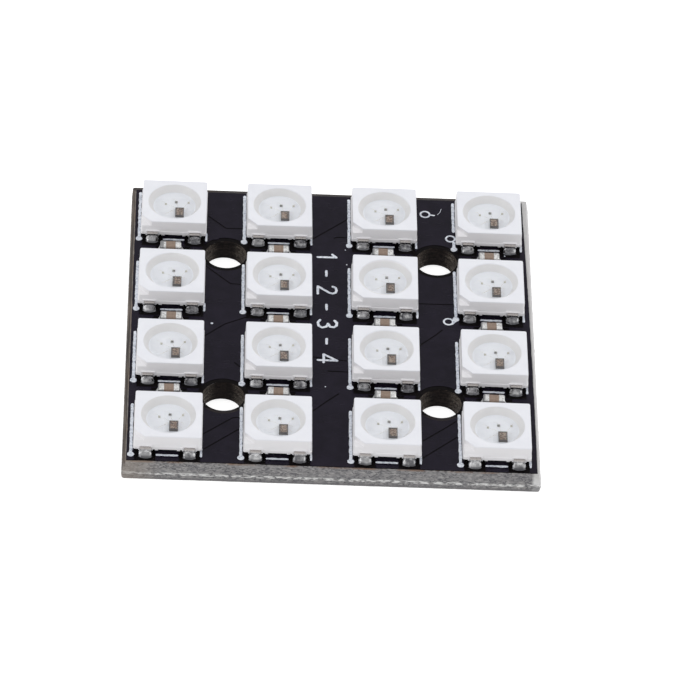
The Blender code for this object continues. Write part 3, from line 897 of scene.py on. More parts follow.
NUB_HALF = 0.12
NUB_SPAN = (2.10, 2.46)
NUB_LOW = 0.27
NOTCH = 0.79
NOTCH_DROP = 0.44
OUTSIDE = -3.0
BROKEN_EDGE = math.radians(35.0)
SHARP_EDGE = math.radians(40.0)
LED_NUDGES = (
    (0.03, -0.01), (0.0, -0.01), (-0.01, 0.02), (0.0, 0.0),
    (-0.02, 0.01), (0.03, 0.06), (-0.02, 0.04), (0.01, 0.0),
    (-0.03, 0.02), (0.03, 0.0), (0.01, 0.09), (-0.03, 0.03),
    (0.0, 0.02), (0.02, 0.02), (0.01, 0.01), (0.02, 0.0),
)
LED_NAMES = [f"r{row}c{column}" for row in range(1, 5) for column in range(1, 5)]


def add_block(bm, low, high):
    """Add a closed block between two corners, given in millimetres."""
    size = (Vector(high) - Vector(low)) * MM
    middle = (Vector(high) + Vector(low)) * MM / 2.0
    bmesh.ops.create_cube(bm, size=1.0, matrix=Matrix.Translation(middle) @ Matrix.Diagonal((*size, 1.0)))


def loft(name, sections, smooth=None):
    """Close a row of sections, each a loop of as many points in millimetres."""
    bm = bmesh.new()
    loops = [[bm.verts.new(Vector(point) * MM) for point in section] for section in sections]
    skin(bm, loops)
    bm.faces.new(loops[0])
    bm.faces.new(loops[-1])
    return to_mesh(bm, name, smooth)


def arc(centre, radius, start, end, steps):
    """Points on an arc between two angles in degrees."""
    for step in range(steps + 1):
        angle = math.radians(start + (end - start) * step / steps)
        yield centre[0] + radius * math.cos(angle), centre[1] + radius * math.sin(angle)


def rounded_box(middle, reach, radius, steps):
    """Points round a box whose corners are arcs, centred at a reach from the box's middle."""
    points = []
    for turn, (across, along) in enumerate(CORNERS):
        centre = (middle[0] + across * reach[0], middle[1] + along * reach[1])
        points += arc(centre, radius, turn * 90.0, turn * 90.0 + 90.0, steps)
    return points


def housing_base():
    """The lower half of the moulding, up to its ledge: the side profile extruded across."""
    profile = (
        (-PLINTH_HALF, PLINTH_LOW), (PLINTH_HALF, PLINTH_LOW), (PLINTH_HALF, SKIRT),
        (HOUSING_HALF, SKIRT), (HOUSING_HALF, LEDGE), (-HOUSING_HALF, LEDGE),
        (-HOUSING_HALF, SKIRT), (-PLINTH_HALF, SKIRT),
    )
    bm = bmesh.new()
    face = bm.faces.new([bm.verts.new((-HOUSING_HALF * MM, y * MM, z * MM)) for y, z in profile])
    grown = bmesh.ops.extrude_face_region(bm, geom=[face])["geom"]
    far = [item for item in grown if isinstance(item, bmesh.types.BMVert)]
    bmesh.ops.translate(bm, verts=far, vec=(2.0 * HOUSING_HALF * MM, 0.0, 0.0))
    bmesh.ops.recalc_face_normals(bm, faces=bm.faces)
    middle = (SKIRT + LEDGE) / 2.0 * MM
    uprights = [
        edge for edge in bm.edges
        if min(v.co.z for v in edge.verts) < middle < max(v.co.z for v in edge.verts)
    ]
    bmesh.ops.bevel(bm, geom=uprights, offset=HOUSING_CORNER * MM, segments=5, profile=0.5,
                    affect="EDGES")
    return to_mesh(bm, "led_housings")


def housing_wall():
    """The upper half: four walls with a little draft and a rounded rim, set in from the ledge."""
    levels = [(WALL_HALF + 0.012, HOUSING_CORNER, LEDGE - 0.06)]
    for angle in (0.0, 22.5, 45.0, 67.5, 90.0):
        inset = RIM_ROUND * (1.0 - math.cos(math.radians(angle)))
        height = HOUSING_TOP - RIM_ROUND * (1.0 - math.sin(math.radians(angle)))
        levels.append((WALL_HALF - 0.01 - inset, HOUSING_CORNER - inset, height))
    return loft("housing_wall", [
        [(x, y, height) for x, y in rounded_box((0.0, 0.0), (half - radius, half - radius), radius, 5)]
        for half, radius, height in levels
    ])


def end_blocks(name, centres, half, span, low, high):
    """Blocks at both ends of an LED, one about each centre, over a span of distances out."""
    bm = bmesh.new()
    for end in ENDS:
        front, back = sorted(end * reach for reach in span)
        for middle in centres:
            add_block(bm, (middle - half, front, low), (middle + half, back, high))
    return to_mesh(bm, name)


def cup_cutter():
    profile = [
        (0.0, CUP_FLOOR), (CUP_FLOOR_RADIUS - 0.04, CUP_FLOOR), (CUP_FLOOR_RADIUS, CUP_FLOOR + 0.03),
        (CUP_RADIUS - CUP_SLOPE * CUP_LIP, HOUSING_TOP - CUP_LIP),
        (CUP_RADIUS + CUP_LIP, HOUSING_TOP + CUP_LIP * 0.3),
        (CUP_RADIUS + CUP_LIP, HOUSING_TOP + 0.2), (0.0, HOUSING_TOP + 0.2),
    ]
    return turned("cup", profile, CUP_SIDES)


def notch_cutter():
    """A wedge over the corner at the first lead, from a drop below the top to above it."""
    reach = -2.0 * WALL_HALF + NOTCH - OUTSIDE
    outline = [(OUTSIDE, OUTSIDE), (reach, OUTSIDE), (OUTSIDE, reach)]
    outline = [(x * MM, y * MM) for x, y in outline]
    return cutter("notch", [outline], (HOUSING_TOP - NOTCH_DROP) * MM, 2.0 * MM)


def softened(mesh, width):
    """Break the sharp edges that the cuts left."""
    work = in_scene(mesh.name, mesh)
    edge = work.modifiers.new("broken_edges", "BEVEL")
    edge.width = width * MM
    edge.segments = 2
    edge.limit_method = "ANGLE"
    edge.angle_limit = BROKEN_EDGE
    result = solid_of(work)
    result.shade_smooth()
    result.set_sharp_from_angle(angle=SHARP_EDGE)
    return result


def set_out_tree():
    """Set a piece at each place of a grid, a little turned and shifted, and ripple its surface."""
    tree = bpy.data.node_groups.new("set_out_in_rows", "GeometryNodeTree")
    wanted = (
        ("Piece", "Object"), ("Columns", "Int"), ("Rows", "Int"), ("Pitch", "Float"),
        ("Height", "Float"), ("Turn", "Float"), ("Shift", "Float"), ("Ripple", "Float"),
        ("Ripple Size", "Float"), ("Seed", "Int"), ("Finish", "Material"),
    )
    for name, kind in wanted:
        tree.interface.new_socket(name, in_out="INPUT", socket_type="NodeSocket" + kind)
    tree.interface.new_socket("Geometry", in_out="OUTPUT", socket_type="NodeSocketGeometry")
    given = add_node(tree, "NodeGroupInput").outputs
    grid = add_node(tree, "GeometryNodeMeshGrid", {
        "Size X": times(less(given["Columns"], 1.0), given["Pitch"]), "Vertices X": given["Columns"],
        "Size Y": times(less(given["Rows"], 1.0), given["Pitch"]), "Vertices Y": given["Rows"],
    })

    def at_random(low, high, seed, amount):
        """A random vector for each place, scaled by one of the inputs."""
        drawn = add_node(
            tree, "FunctionNodeRandomValue", {0: low, 1: high, "Seed": seed}, data_type="FLOAT_VECTOR"
        )
        return add_node(
            tree, "ShaderNodeVectorMath", {0: drawn.outputs[0], "Scale": amount}, operation="SCALE"
        ).outputs[0]

    shift = at_random((-1.0, -1.0, 0.0), (1.0, 1.0, 0.0), given["Seed"], given["Shift"])
    turn = at_random(
        (0.0, 0.0, -1.0), (0.0, 0.0, 1.0), reckon("ADD", given["Seed"], 1.0), given["Turn"]
    )
    raised = add_node(tree, "ShaderNodeCombineXYZ", {"Z": given["Height"]})
    offset = add_node(tree, "ShaderNodeVectorMath", {0: shift, 1: raised.outputs[0]}, operation="ADD")
    points = add_node(
        tree, "GeometryNodeSetPosition", {"Geometry": grid.outputs[0], "Offset": offset.outputs[0]}
    )
    piece = add_node(tree, "GeometryNodeObjectInfo", {"Object": given["Piece"]})
    placed = add_node(
        tree, "GeometryNodeInstanceOnPoints",
        {"Points": points.outputs[0], "Instance": piece.outputs["Geometry"], "Rotation": turn},
    )
    real = add_node(tree, "GeometryNodeRealizeInstances", {"Geometry": placed.outputs[0]})
    position = add_node(tree, "GeometryNodeInputPosition").outputs[0]
    cloud = add_node(
        tree, "ShaderNodeTexNoise",
        {"Vector": position, "Scale": reckon("DIVIDE", 1.0, given["Ripple Size"])},
    )
    swell = times(less(cloud.outputs["Fac"], 0.5), given["Ripple"])
    out = add_node(
        tree, "ShaderNodeVectorMath",
        {0: add_node(tree, "GeometryNodeInputNormal").outputs[0], "Scale": swell}, operation="SCALE",
    )
    rippled = add_node(
        tree, "GeometryNodeSetPosition", {"Geometry": real.outputs[0], "Offset": out.outputs[0]}
    )
    coated = add_node(
        tree, "GeometryNodeSetMaterial",
        {"Geometry": rippled.outputs[0], "Material": given["Finish"]},
    )
    add_node(tree, "NodeGroupOutput", {"Geometry": coated.outputs[0]})
    return tree


SET_OUT = set_out_tree()


def set_out(name, mesh, finish, slot, rows=4, turn=0.5, shift=0.02, ripple=0.0, ripple_size=0.3,
            seed=5, nudges=LED_NUDGES):
    """Copies of a mesh at the LEDs' or capacitors' places, each nudged off its mark as in the photo."""
    source = in_scene(name + "_source", mesh)
    holder = in_scene(name, bpy.data.meshes.new(name + "_holder"))
    nodes = holder.modifiers.new("rows", "NODES")
    nodes.node_group = SET_OUT
    values = {
        "Piece": source, "Columns": 4, "Rows": rows, "Pitch": PITCH, "Height": BOARD_TOP,
        "Turn": math.radians(turn), "Shift": shift * MM, "Ripple": ripple * MM,
        "Ripple Size": ripple_size * MM, "Seed": seed, "Finish": finish,
    }
    for socket in SET_OUT.interface.items_tree:
        if socket.in_out == "INPUT":
            nodes[socket.identifier] = values[socket.name]
    result = solid_of(holder, source)
    result.name = name
    result.materials.clear()
    for vertex in result.vertices:
        column = int(vertex.co.x / PITCH + 2.0)
        row = int(vertex.co.y / PITCH + rows / 2.0)
        across, along = nudges[4 * row + column]
        vertex.co.x += across * MM
        vertex.co.y += along * MM
    return made_piece(name, result, [finish], slot)


def from_centre(tree, axis):
    """Distance along one axis from the middle of the nearest LED."""
    shifted = reckon("ADD", own_place(tree)[axis], 2.0 * PITCH)
    return less(PITCH / 2.0, reckon("PINGPONG", shifted, PITCH / 2.0))


def length_of(across, along):
    """Length of a step that goes so far across and so far along."""
    return reckon("SQRT", reckon("ADD", reckon("POWER", across, 2.0), reckon("POWER", along, 2.0)))


def white_plastic():
    """Dense white moulding compound, faintly cloudy, with a satin skin and a polished white cup whose wall
    is painted greyer as painted shade.
    """
    material, tree, shader = new_finish("white_plastic", Roughness=0.42)
    rim_colour = ramp(mottle(tree, 1.1, 4.0), (0.3, (0.855, 0.865, 0.920)), (0.7, (0.895, 0.905, 0.955)))
    height = own_place(tree)["Z"]
    rim = BOARD_TOP + HOUSING_TOP * MM
    walls = band(height, rim - 0.12 * MM, rim - 0.03 * MM, 0.9, 0.0)
    colour = blend(walls, rim_colour, (0.882, 0.871, 0.890))
    # Painted shade: the cup's wall is painted greyer than the rest of the moulding, and its floor bluish
    # white.
    floor = BOARD_TOP + CUP_FLOOR * MM
    shaded_cup_wall = band(height, floor + 0.02 * MM, floor + 0.08 * MM)
    cup = blend(shaded_cup_wall, (0.925, 0.95, 1.0), (0.815, 0.81, 0.815))
    reach = length_of(from_centre(tree, "X"), from_centre(tree, "Y"))
    in_cup = between(reach, CUP_RADIUS - 0.02, CUP_RADIUS + 0.02, 1.0, 0.0)
    feed(shader, Base_Color=blend(in_cup, colour, cup))
    relief(shader, mottle(tree, 14.0), 0.18, 0.01)
    return material


housing_mesh = combine(housing_base(), [
    ("UNION", housing_wall()),
    ("UNION", end_blocks("lead_frames", LEAD_CENTRES, LEAD_HALF + 0.015 + FRAME_WIDTH, FRAME_SPAN,
                         SKIRT - 0.05, FRAME_TOP)),
    ("DIFFERENCE", end_blocks("lead_openings", LEAD_CENTRES, LEAD_HALF - 0.005, OPENING_SPAN,
                              SKIRT - 0.3, LEAD_TOP + 0.005)),
    ("UNION", end_blocks("skirt_nubs", NUB_CENTRES, NUB_HALF, NUB_SPAN, NUB_LOW, SKIRT + 0.05)),
    ("DIFFERENCE", cup_cutter()), ("DIFFERENCE", notch_cutter()),
])
housings = set_out("led_housings", softened(housing_mesh, 0.018), white_plastic(), "housing")
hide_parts(*[f"led_housing_{name}" for name in LED_NAMES])

# ---- Leads ----
# Four strips of tinned copper leave each housing, bend down its end walls and turn under it as
# feet. They are stamped with the lead frame and folded after moulding.
LEAD_THICK = 0.15
LEAD_FACE = 2.74
LEAD_ROOT = 2.15
LEAD_BEND = 0.12
LEAD_TIGHT = 0.03
FOOT_LOW = 0.02
FOOT_END = 1.95


def lead_section():
    """Outline of the folded strip, as (distance from the middle, height)."""
    out = LEAD_FACE - LEAD_BEND
    inner = LEAD_FACE - LEAD_THICK - LEAD_TIGHT
    return (
        [(LEAD_ROOT, LEAD_TOP)]
        + list(arc((out, LEAD_TOP - LEAD_BEND), LEAD_BEND, 90, 0, 6))
        + list(arc((out, LEAD_BEND), LEAD_BEND, 0, -90, 4))
        + [(FOOT_END, FOOT_LOW), (FOOT_END, FOOT_LOW + LEAD_THICK)]
        + list(arc((inner, FOOT_LOW + LEAD_THICK + LEAD_TIGHT), LEAD_TIGHT, -90, 0, 2))
        + list(arc((inner, LEAD_TOP - LEAD_THICK - LEAD_TIGHT), LEAD_TIGHT, 0, 90, 2))
        + [(LEAD_ROOT, LEAD_TOP - LEAD_THICK)]
    )


def turned_copies(name, mesh, turns, shifts=(0.0,)):
    """Copies of a mesh, each turned about Z and then shifted along X in millimetres."""
    return joined(name, [
        (mesh, Matrix.Translation((shift * MM, 0.0, 0.0)) @ Matrix.Rotation(turn, 4, "Z"))
        for shift in shifts for turn in turns
    ])


def four_ends(name, mesh):
    """A copy of a lead's mesh at each of the four corners of an LED."""
    return turned_copies(name, mesh, (0.0, math.pi), LEAD_CENTRES)


def tinned_copper():
    """Dull rolled tin, drawn along the strip, with a painted highlight along its upper bend."""
    material, tree, shader = new_finish("tinned_copper", Metallic=1.0)
    drawn = mottle(tree, (12.0, 3.0, 3.0))
    dull = ramp(drawn, (0.32, (0.15, 0.15, 0.16)), (0.68, (0.42, 0.42, 0.43)))
    # Painted highlight: the strip is painted brighter near its top, where the upper bend turns to the
    # light.
    fold_highlight = band(own_place(tree)["Z"], BOARD_TOP + 0.57 * MM, BOARD_TOP + 0.66 * MM)
    feed(shader, Base_Color=blend(fold_highlight, dull, (0.48, 0.45, 0.435)),
         Roughness=band(mottle(tree, 4.0), 0.35, 0.65, 0.2, 0.42))
    relief(shader, drawn, 0.3, 0.01)
    return material


tin = tinned_copper()
lead_mesh = loft("lead", [
    [(across, -along, height) for along, height in lead_section()]
    for across in (-LEAD_HALF, LEAD_HALF)
])
set_out("leads", softened(four_ends("leads", lead_mesh), 0.02), tin, "pad")

# ---- Solder ----
# Reflowed tin solder that has wetted each lead and its pad: a hollow fillet that climbs the lead's
# face, spreads out to the edge of the pad and draws thin at its sides.
SOLDER_HALF = 0.49
SOLDER_RISE = 0.50
SOLDER_TOE = 0.33
SOLDER_BACK = 2.5
SOLDER_STATIONS = 12
SOLDER_STEPS = 8
SOLDER_EDGE = 0.012
SOLDER_SPREAD = 0.03


def fillet_sections(half, face, rise, toe, back):
    """Sections across a fillet, each from behind the wetted face out to the toe."""
    sections = []
    for station in range(SOLDER_STATIONS + 1):
        across = -1.0 + 2.0 * station / SOLDER_STATIONS
        high = rise * (0.30 + 0.70 * (1.0 - abs(across) ** 4))
        reach = toe * (0.40 + 0.60 * (1.0 - abs(across) ** 2.6))
        section = [(across * half, -back, 0.0), (across * half, -back, high)]
        for step in range(SOLDER_STEPS + 1):
            along = step / SOLDER_STEPS
            drop = (1.0 - along) ** 1.6
            side = across * half * (1.0 + SOLDER_SPREAD * along)
            section.append((side, -(face + reach * along), SOLDER_EDGE + (high - SOLDER_EDGE) * drop))
        section.append((across * half * (1.0 + SOLDER_SPREAD), -(face + reach), 0.0))
        sections.append(section)
    return sections


def beside_centre(tree, axis):
    """Signed place along one axis from the middle of the nearest LED."""
    shifted = reckon("ADD", own_place(tree)[axis], 2.0 * PITCH)
    return less(reckon("FLOORED_MODULO", shifted, PITCH), PITCH / 2.0)


def bright_solder():
    """Frozen solder in smooth grey patches, with painted highlights at the left joints and along both
    sides, and painted shade at the toe.
    """
    material, tree, shader = new_finish("bright_solder", Metallic=1.0)
    # Painted reflection: the grey patches are darker than tin and stand partly for reflections of the dark
    # board, over a real frosty grain.
    frost_and_reflections = mottle(tree, 2.6, 2.0)
    colour = ramp(frost_and_reflections, (0.36, (0.15, 0.15, 0.16)), (0.52, (0.30, 0.30, 0.31)),
                  (0.66, (0.58, 0.58, 0.58)))
    # Painted highlight: the joints at each LED's left end are painted brighter.
    left = between(beside_centre(tree, "X"), -0.5, 0.5, 0.28, 0.0)
    colour = blend(left, colour, (0.85, 0.85, 0.86))
    # Painted highlight: each joint is painted bright along both of its sides.
    sides = between(apart(from_centre(tree, "X"), LEAD_CENTRES[1] * MM), 0.26, 0.38, 0.0, 0.40)
    colour = blend(sides, colour, (0.80, 0.80, 0.81))
    # Painted shade: each joint is painted dark at its toe, near the board.
    toe = band(own_place(tree)["Z"], BOARD_TOP + 0.20 * MM, BOARD_TOP + 0.05 * MM, 0.0, 0.85)
    colour = blend(toe, colour, (0.075, 0.075, 0.085))
    feed(shader, Base_Color=colour, Roughness=band(frost_and_reflections, 0.38, 0.62, 0.14, 0.30))
    relief(shader, mottle(tree, 4.0, 2.0), 0.35, 0.03)
    return material


fillet = loft(
    "fillet", fillet_sections(SOLDER_HALF, LEAD_FACE, SOLDER_RISE, SOLDER_TOE, SOLDER_BACK), 60.0
)
set_out("lead_solder", four_ends("lead_solder", fillet), bright_solder(), "pad",
        ripple=0.12, ripple_size=0.42)

# ---- Chips in the cups ----
# A controller die and three small light dies sit on the silvered pads of the lead frame in the
# floor of each cup, joined to it by fine gold wires.
CONTROLLER = ((0.07, 0.73), (-1.31, -0.26), 0.25)
CONTROLLER_FRAME = 0.08
LIGHT_DIES = ((-0.67, 0.22), (0.12, 0.47), (1.06, 0.47))
LIGHT_DIE_HIGH = 0.1
PALE_HALF, DARK_HALF = 0.08, 0.12
ISLANDS = (((-1.45, -0.42), (-0.62, 0.85)), ((-0.32, 0.84), (-1.36, 0.95)), ((0.94, 1.46), (-0.55, 0.80)),
           ((-1.05, -0.42), (-1.12, -0.72)))
ISLAND_HIGH = 0.008
BOND_PAD_HALF = 0.03
BOND_PAD_INSET = 0.06
BOND_PAD_START = 0.21
BOND_PAD_STEP = 0.18


def set_out_chips(name, blocks, bevel, finish, slot):
    """Blocks with broken edges in every cup, at heights over the cup's floor."""
    bm = bmesh.new()
    for (left, right), (front, rear), (low, high) in blocks:
        add_block(bm, (left, front, CUP_FLOOR + low), (right, rear, CUP_FLOOR + high))
    set_out(name, softened(to_mesh(bm, name), bevel), finish, slot)


def about(middle, half):
    return middle - half, middle + half


def etched_silicon():
    """The controller's face: brown circuitry in small blocks, with a dark border and sawn sides."""
    material, tree, shader = new_finish("etched_silicon", Roughness=0.35)
    place = add_node(tree, "ShaderNodeTexCoord").outputs["Object"]
    cells = add_node(
        tree, "ShaderNodeTexVoronoi", {"Vector": place, "Scale": 11.0 / MM}, distance="CHEBYCHEV"
    )
    shade = add_node(tree, "ShaderNodeSeparateColor", {0: cells.outputs["Color"]}).outputs[0]
    colour = ramp(shade, (0.15, (0.085, 0.060, 0.050)), (0.5, (0.24, 0.155, 0.115)),
                  (0.85, (0.40, 0.33, 0.27)))
    (left, right), (front, rear), high = CONTROLLER
    for axis, near, far in (("X", left, right), ("Y", front + CONTROLLER_FRAME, rear)):
        out = apart(beside_centre(tree, axis), (near + far) / 2.0 * MM)
        edge = (far - near) / 2.0
        colour = blend(between(out, edge - 0.13, edge - 0.07), colour, (0.055, 0.050, 0.050))
    face = BOARD_TOP + (CUP_FLOOR + high) * MM
    top = band(own_place(tree)["Z"], face - 0.02 * MM, face - 0.005 * MM)
    feed(shader, Base_Color=blend(top, (0.075, 0.07, 0.068), colour))
    return material


def dark_crystal():
    """Dark crystal of the middle light die, with a paler rim round its electrode."""
    material, tree, shader = new_finish("dark_crystal", Roughness=0.3)
    colour = ramp(mottle(tree, 6.0), (0.4, (0.07, 0.068, 0.065)), (0.6, (0.15, 0.145, 0.14)))
    reach = length_of(*[
        less(beside_centre(tree, axis), place * MM) for axis, place in zip("XY", LIGHT_DIES[1])
    ])
    feed(shader, Base_Color=blend(between(reach, 0.05, 0.14), colour, (0.55, 0.55, 0.55)))
    return material


# The frame is silver-plated, white and softly bright. The outer light dies are a pale grown crystal.
silvered = clouded(
    "silvered", 3.0, (0.35, (0.90, 0.925, 0.98)), (0.65, (0.93, 0.955, 1.0)), Metallic=0.1, Roughness=0.45
)
light_crystal = clouded(
    "light_crystal", 5.0, (0.4, (0.52, 0.50, 0.45)), (0.6, (0.66, 0.64, 0.58)), Roughness=0.3
)
(die_left, die_right), (die_front, die_back), die_high = CONTROLLER
set_out_chips("lead_frame_islands", [
    (across, along, (-0.03, ISLAND_HIGH)) for across, along in ISLANDS
], 0.006, silvered, "pad")
set_out_chips("controller_dies", [
    ((die_left, die_right), (die_front, die_back), (0.0, die_high))
], 0.01, etched_silicon(), "capacitor")
set_out_chips("bond_pads", [
    (about(across, BOND_PAD_HALF), about(die_front + BOND_PAD_START + step * BOND_PAD_STEP, BOND_PAD_HALF),
     (die_high - 0.01, die_high + 0.006))
    for step in range(4) for across in (die_left + BOND_PAD_INSET, die_right - BOND_PAD_INSET)
], 0.003, tin, "pad")
for name, places, half, finish in (
    ("light_dies_pale", (LIGHT_DIES[0], LIGHT_DIES[2]), PALE_HALF, light_crystal),
    ("light_dies_dark", (LIGHT_DIES[1],), DARK_HALF, dark_crystal()),
):
    set_out_chips(name, [
        (about(x, half), about(y, half), (0.0, LIGHT_DIE_HIGH)) for x, y in places
    ], 0.006, finish, "capacitor")

# ---- Bond wires ----
# Drawn gold wires, each welded to a die's pad and to the lead frame. Each rises from its pad, bows
# over and comes down. They are given as pairs of ends.
WIRES = (
    ((0.14, -0.51), (-0.55, -0.85)), ((0.14, -0.69), (-0.75, -0.95)), ((0.67, -0.51), (1.10, -0.35)),
    ((0.67, -0.87), (1.02, -0.95)), ((0.30, -0.45), (0.12, 0.41)), ((0.14, -0.45), (-0.62, 0.17)),
    ((0.67, -0.42), (1.02, 0.41)), ((0.12, 0.53), (-0.20, 0.80)), ((1.10, 0.52), (1.22, 0.70)),
    ((-0.72, 0.27), (-1.05, 0.52)),
)
WIRE_RADIUS = 0.006
WIRE_BOW = 0.16
WIRE_STEPS = 8


def bond_wires():
    curve = bpy.data.curves.new("bond_wires", "CURVE")
    curve.dimensions = "3D"
    curve.bevel_depth = WIRE_RADIUS * MM
    curve.bevel_resolution = 1
    curve.use_fill_caps = True
    for (from_x, from_y), (to_x, to_y) in WIRES:
        on_controller = die_left <= from_x <= die_right and from_y < die_back
        start = CUP_FLOOR + (die_high if on_controller else LIGHT_DIE_HIGH)
        run = curve.splines.new("POLY")
        run.points.add(WIRE_STEPS)
        for index, point in enumerate(run.points):
            along = index / WIRE_STEPS
            rise = WIRE_BOW * math.sin(math.pi * along ** 0.7)
            height = start + (CUP_FLOOR + ISLAND_HIGH - start) * along ** 1.5 + rise
            place = (from_x + (to_x - from_x) * along, from_y + (to_y - from_y) * along, height)
            point.co = (*(Vector(place) * MM), 1.0)
    return solid_of(in_scene("bond_wires", curve))


gold = clouded(
    "gold", 6.0, (0.4, (0.88, 0.80, 0.66)), (0.6, (0.93, 0.88, 0.78)), Metallic=1.0, Roughness=0.25
)
set_out("bond_wires", bond_wires(), gold, "pad")

# ---- Silicone ----
# Clear silicone is poured into each cup over the dies and wires and cured, and creeps a little up
# the wall as it sets, so its face is very slightly dished. It lies a hair's breadth into the plastic.
FILL_BRIM = 1.62
FILL_DISH = 0.035
FILL_BOND = 0.012
FILL_STEPS = 8
FILL_SIDES = 64
GEL_HOLD = 0.13


def filling():
    brim = CUP_FLOOR_RADIUS + CUP_SLOPE * (FILL_BRIM - CUP_FLOOR) + FILL_BOND
    profile = [(0.0, CUP_FLOOR - FILL_BOND), (CUP_FLOOR_RADIUS + FILL_BOND, CUP_FLOOR - FILL_BOND),
               (brim, FILL_BRIM)]
    for step in range(1, FILL_STEPS + 1):
        outward = 1.0 - step / FILL_STEPS
        profile.append((brim * outward, FILL_BRIM - FILL_DISH * (1.0 - outward ** 3)))
    return turned("silicone", profile, FILL_SIDES, 60.0)


def clear_silicone():
    """Water-clear cured gel with a few soft waves in its skin. Scattered light passes it freely."""
    material, tree, shader = new_finish(
        "clear_silicone", Roughness=0.0, IOR=1.42, Transmission_Weight=1.0,
    )
    rays = add_node(tree, "ShaderNodeLightPath").outputs
    scattered = reckon("MAXIMUM", rays["Is Diffuse Ray"], rays["Is Shadow Ray"])
    feed(shader, Alpha=band(scattered, 0.0, 1.0, 1.0, GEL_HOLD),
         Base_Color=ramp(mottle(tree, 0.8), (0.35, (0.99, 0.99, 0.995)), (0.65, (1.0, 1.0, 1.0))))
    relief(shader, mottle(tree, 0.9, 2.0), 0.15, 0.03)
    return material


silicone = set_out("silicone", filling(), clear_silicone(), "lens")
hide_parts(*[f"led_lens_{name}" for name in LED_NAMES])

# ---- Capacitors ----
# One brown ceramic chip capacitor between every two LEDs of a column, with tinned ends dipped over
# its corners, held by a small hollow fillet of solder at each end.
CHIP_HALF = 0.80
CHIP_DEEP = 0.40
CHIP_LOW = 0.03
CHIP_HIGH = 0.71
CHIP_BARE = 0.36
CHIP_LAP = 0.05
CERAMIC_SHRINK = 0.02
CERAMIC_EDGE = 0.13
TIP_EDGE = 0.14
TIP_DOME = 0.13
CHIP_FILLET = {"half": 0.42, "face": CHIP_HALF - 0.06, "rise": 0.62, "toe": 0.26, "back": 0.62}
CHIP_NUDGES = (
    (-0.02, 0.04), (0.01, 0.04), (-0.04, 0.06), (-0.06, 0.05),
    (-0.02, 0.05), (-0.03, 0.09), (-0.07, 0.12), (-0.06, 0.07),
    (-0.18, 0.12), (0.0, 0.13), (-0.05, 0.19), (-0.02, 0.12),
)
CHIP_SETTING = {"rows": 3, "turn": 1.2, "shift": 0.04, "seed": 11, "nudges": CHIP_NUDGES}


def rounded_bar(name, start, end, shrink, edge, steps=3, dome=0.0):
    """A bar along X with rounded long edges and, where a dome is given, a rounded start."""
    middle = (0.0, (CHIP_LOW + CHIP_HIGH) / 2.0)
    reach = (CHIP_DEEP - shrink - edge, (CHIP_HIGH - CHIP_LOW) / 2.0 - shrink - edge)
    angles = [math.radians(90.0 * step / steps) for step in range(steps if dome else 0)]
    levels = [(start + dome * (1.0 - math.cos(a)), dome * (1.0 - math.sin(a))) for a in angles]
    levels += [(start + dome, 0.0), (end, 0.0)]
    return loft(name, [
        [(across, y, z) for y, z in rounded_box(middle, reach, edge - inset, steps)]
        for across, inset in levels
    ], 50.0)


def dipped_tin():
    """Matt tin dipped over the ends: pale grey and finely grained, painted darker at its tips and flanks as
    painted shade.
    """
    material, tree, shader = new_finish("dipped_tin", Metallic=0.9, Roughness=0.4)
    colour = ramp(mottle(tree, 7.0), (0.34, (0.55, 0.55, 0.55)), (0.60, (0.90, 0.90, 0.89)))
    # Painted shade: the cap's end face and side faces are painted darker than its top.
    tip = between(from_centre(tree, "X"), CHIP_HALF - 0.12, CHIP_HALF - 0.03)
    aside = less(PITCH / 2.0, from_centre(tree, "Y"))
    flank = between(aside, CHIP_DEEP - 0.13, CHIP_DEEP - 0.04)
    feed(shader, Base_Color=blend(reckon("MAXIMUM", tip, flank), colour, (0.34, 0.34, 0.345)))
    relief(shader, mottle(tree, 16.0, 2.0), 0.3, 0.01)
    return material


def drawn_solder():
    """Bright solder drawn up the capacitors' ends, painted dark at its toe as painted shade."""
    material, tree, shader = new_finish("drawn_solder", Metallic=0.35, Roughness=0.35)
    colour = ramp(mottle(tree, 4.0, 2.0), (0.36, (0.62, 0.62, 0.63)), (0.60, (0.92, 0.92, 0.93)))
    # Painted shade: the fillet is painted dark at its toe, near the board.
    toe = band(own_place(tree)["Z"], BOARD_TOP + 0.12 * MM, BOARD_TOP + 0.03 * MM, 0.0, 0.8)
    feed(shader, Base_Color=blend(toe, colour, (0.08, 0.08, 0.09)))
    relief(shader, mottle(tree, 6.0, 2.0), 0.3, 0.02)
    return material


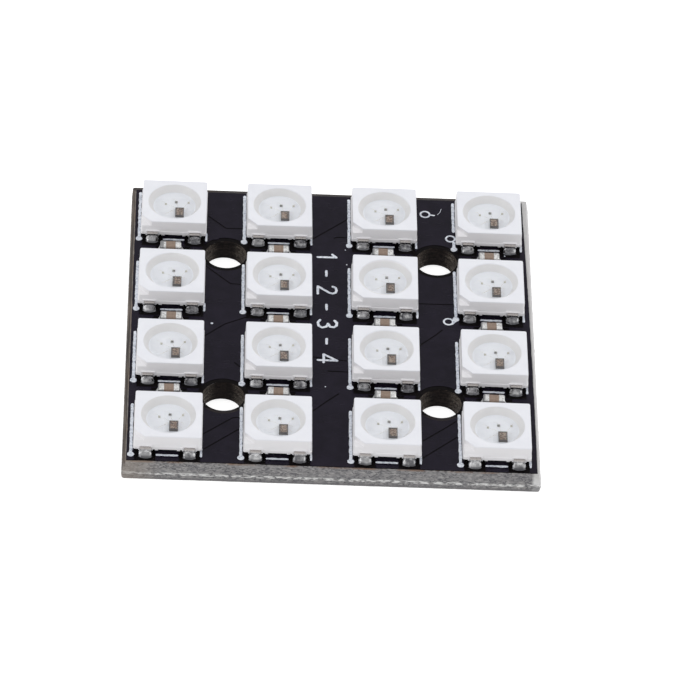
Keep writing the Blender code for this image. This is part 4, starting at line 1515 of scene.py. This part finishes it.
# Fired titanate ceramic is fine-grained, brown and slightly waxy.
brown_ceramic = clouded(
    "brown_ceramic", 7.0, (0.35, (0.235, 0.165, 0.125)), (0.65, (0.305, 0.225, 0.175)),
    detail=4.0, waves=(25.0, 2.0, 0.25, 0.006), Roughness=0.4,
)
bar = rounded_bar("bar", -CHIP_BARE - CHIP_LAP, CHIP_BARE + CHIP_LAP, CERAMIC_SHRINK, CERAMIC_EDGE)
tip = rounded_bar("tip", -CHIP_HALF, -CHIP_BARE, 0.0, TIP_EDGE, 4, TIP_DOME)
chip_fillet = loft("chip_fillet", fillet_sections(**CHIP_FILLET), 60.0)
capacitors = set_out("capacitors", bar, brown_ceramic, "capacitor", **CHIP_SETTING)
set_out("capacitor_ends", turned_copies("capacitor_ends", tip, (0.0, math.pi)), dipped_tin(), "pad",
        **CHIP_SETTING)
set_out("capacitor_solder", turned_copies("capacitor_solder", chip_fillet, (-math.pi / 2.0, math.pi / 2.0)),
        drawn_solder(), "pad", ripple=0.05, **CHIP_SETTING)
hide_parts(*[f"capacitor_r{row}c{column}" for row in (1, 2, 3) for column in (1, 2, 3, 4)])

# ---- Wire pads ----
# Six tinned copper pads in windows of the lower resist, three for the wires in and three for the
# wires out. The tin has levelled to a low pillow when it was reflowed.
PILLOW_RISE = 0.02 * MM
PILLOW_ROUND = 0.12 * MM


def levelled_tin():
    """Reflowed tin on a flat pad: bright, with soft frosty clouds and shallow waves."""
    material, tree, shader = new_finish("levelled_tin", Metallic=1.0)
    cloud = mottle(tree, 1.6, 4.0)
    feed(shader, Base_Color=ramp(cloud, (0.35, (0.50, 0.50, 0.50)), (0.65, (0.76, 0.76, 0.76))),
         Roughness=band(cloud, 0.35, 0.65, 0.16, 0.38))
    relief(shader, mottle(tree, 2.2), 0.4, 0.04)
    return material


def pillow(low, high):
    """A rectangle that swells from its edge to a flat middle, facing down."""
    middle, half = (low + high) / 2.0, (high - low) / 2.0
    reach = (half.x - PILLOW_ROUND, half.y - PILLOW_ROUND)
    levels = ((0.0, high.z), (0.0, 0.6 * PILLOW_RISE), (0.04 * MM, 0.2 * PILLOW_RISE), (0.16 * MM, 0.0))
    return loft("pillow", [
        [(x / MM, y / MM, level / MM)
         for x, y in rounded_box(middle, reach, PILLOW_ROUND - inset * 0.7, 4)]
        for inset, level in levels
    ], 50.0)


pads = [
    (pillow(*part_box(f"{end}_pad_{number}")), Matrix.Identity(4))
    for number in (1, 2, 3) for end in ("input", "output")
]
wire_pads = made_piece("wire_pads", joined("wire_pads", pads), [levelled_tin()], "pad")
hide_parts(*[f"{end}_pad_{number}" for end in ("input", "output") for number in (1, 2, 3)])
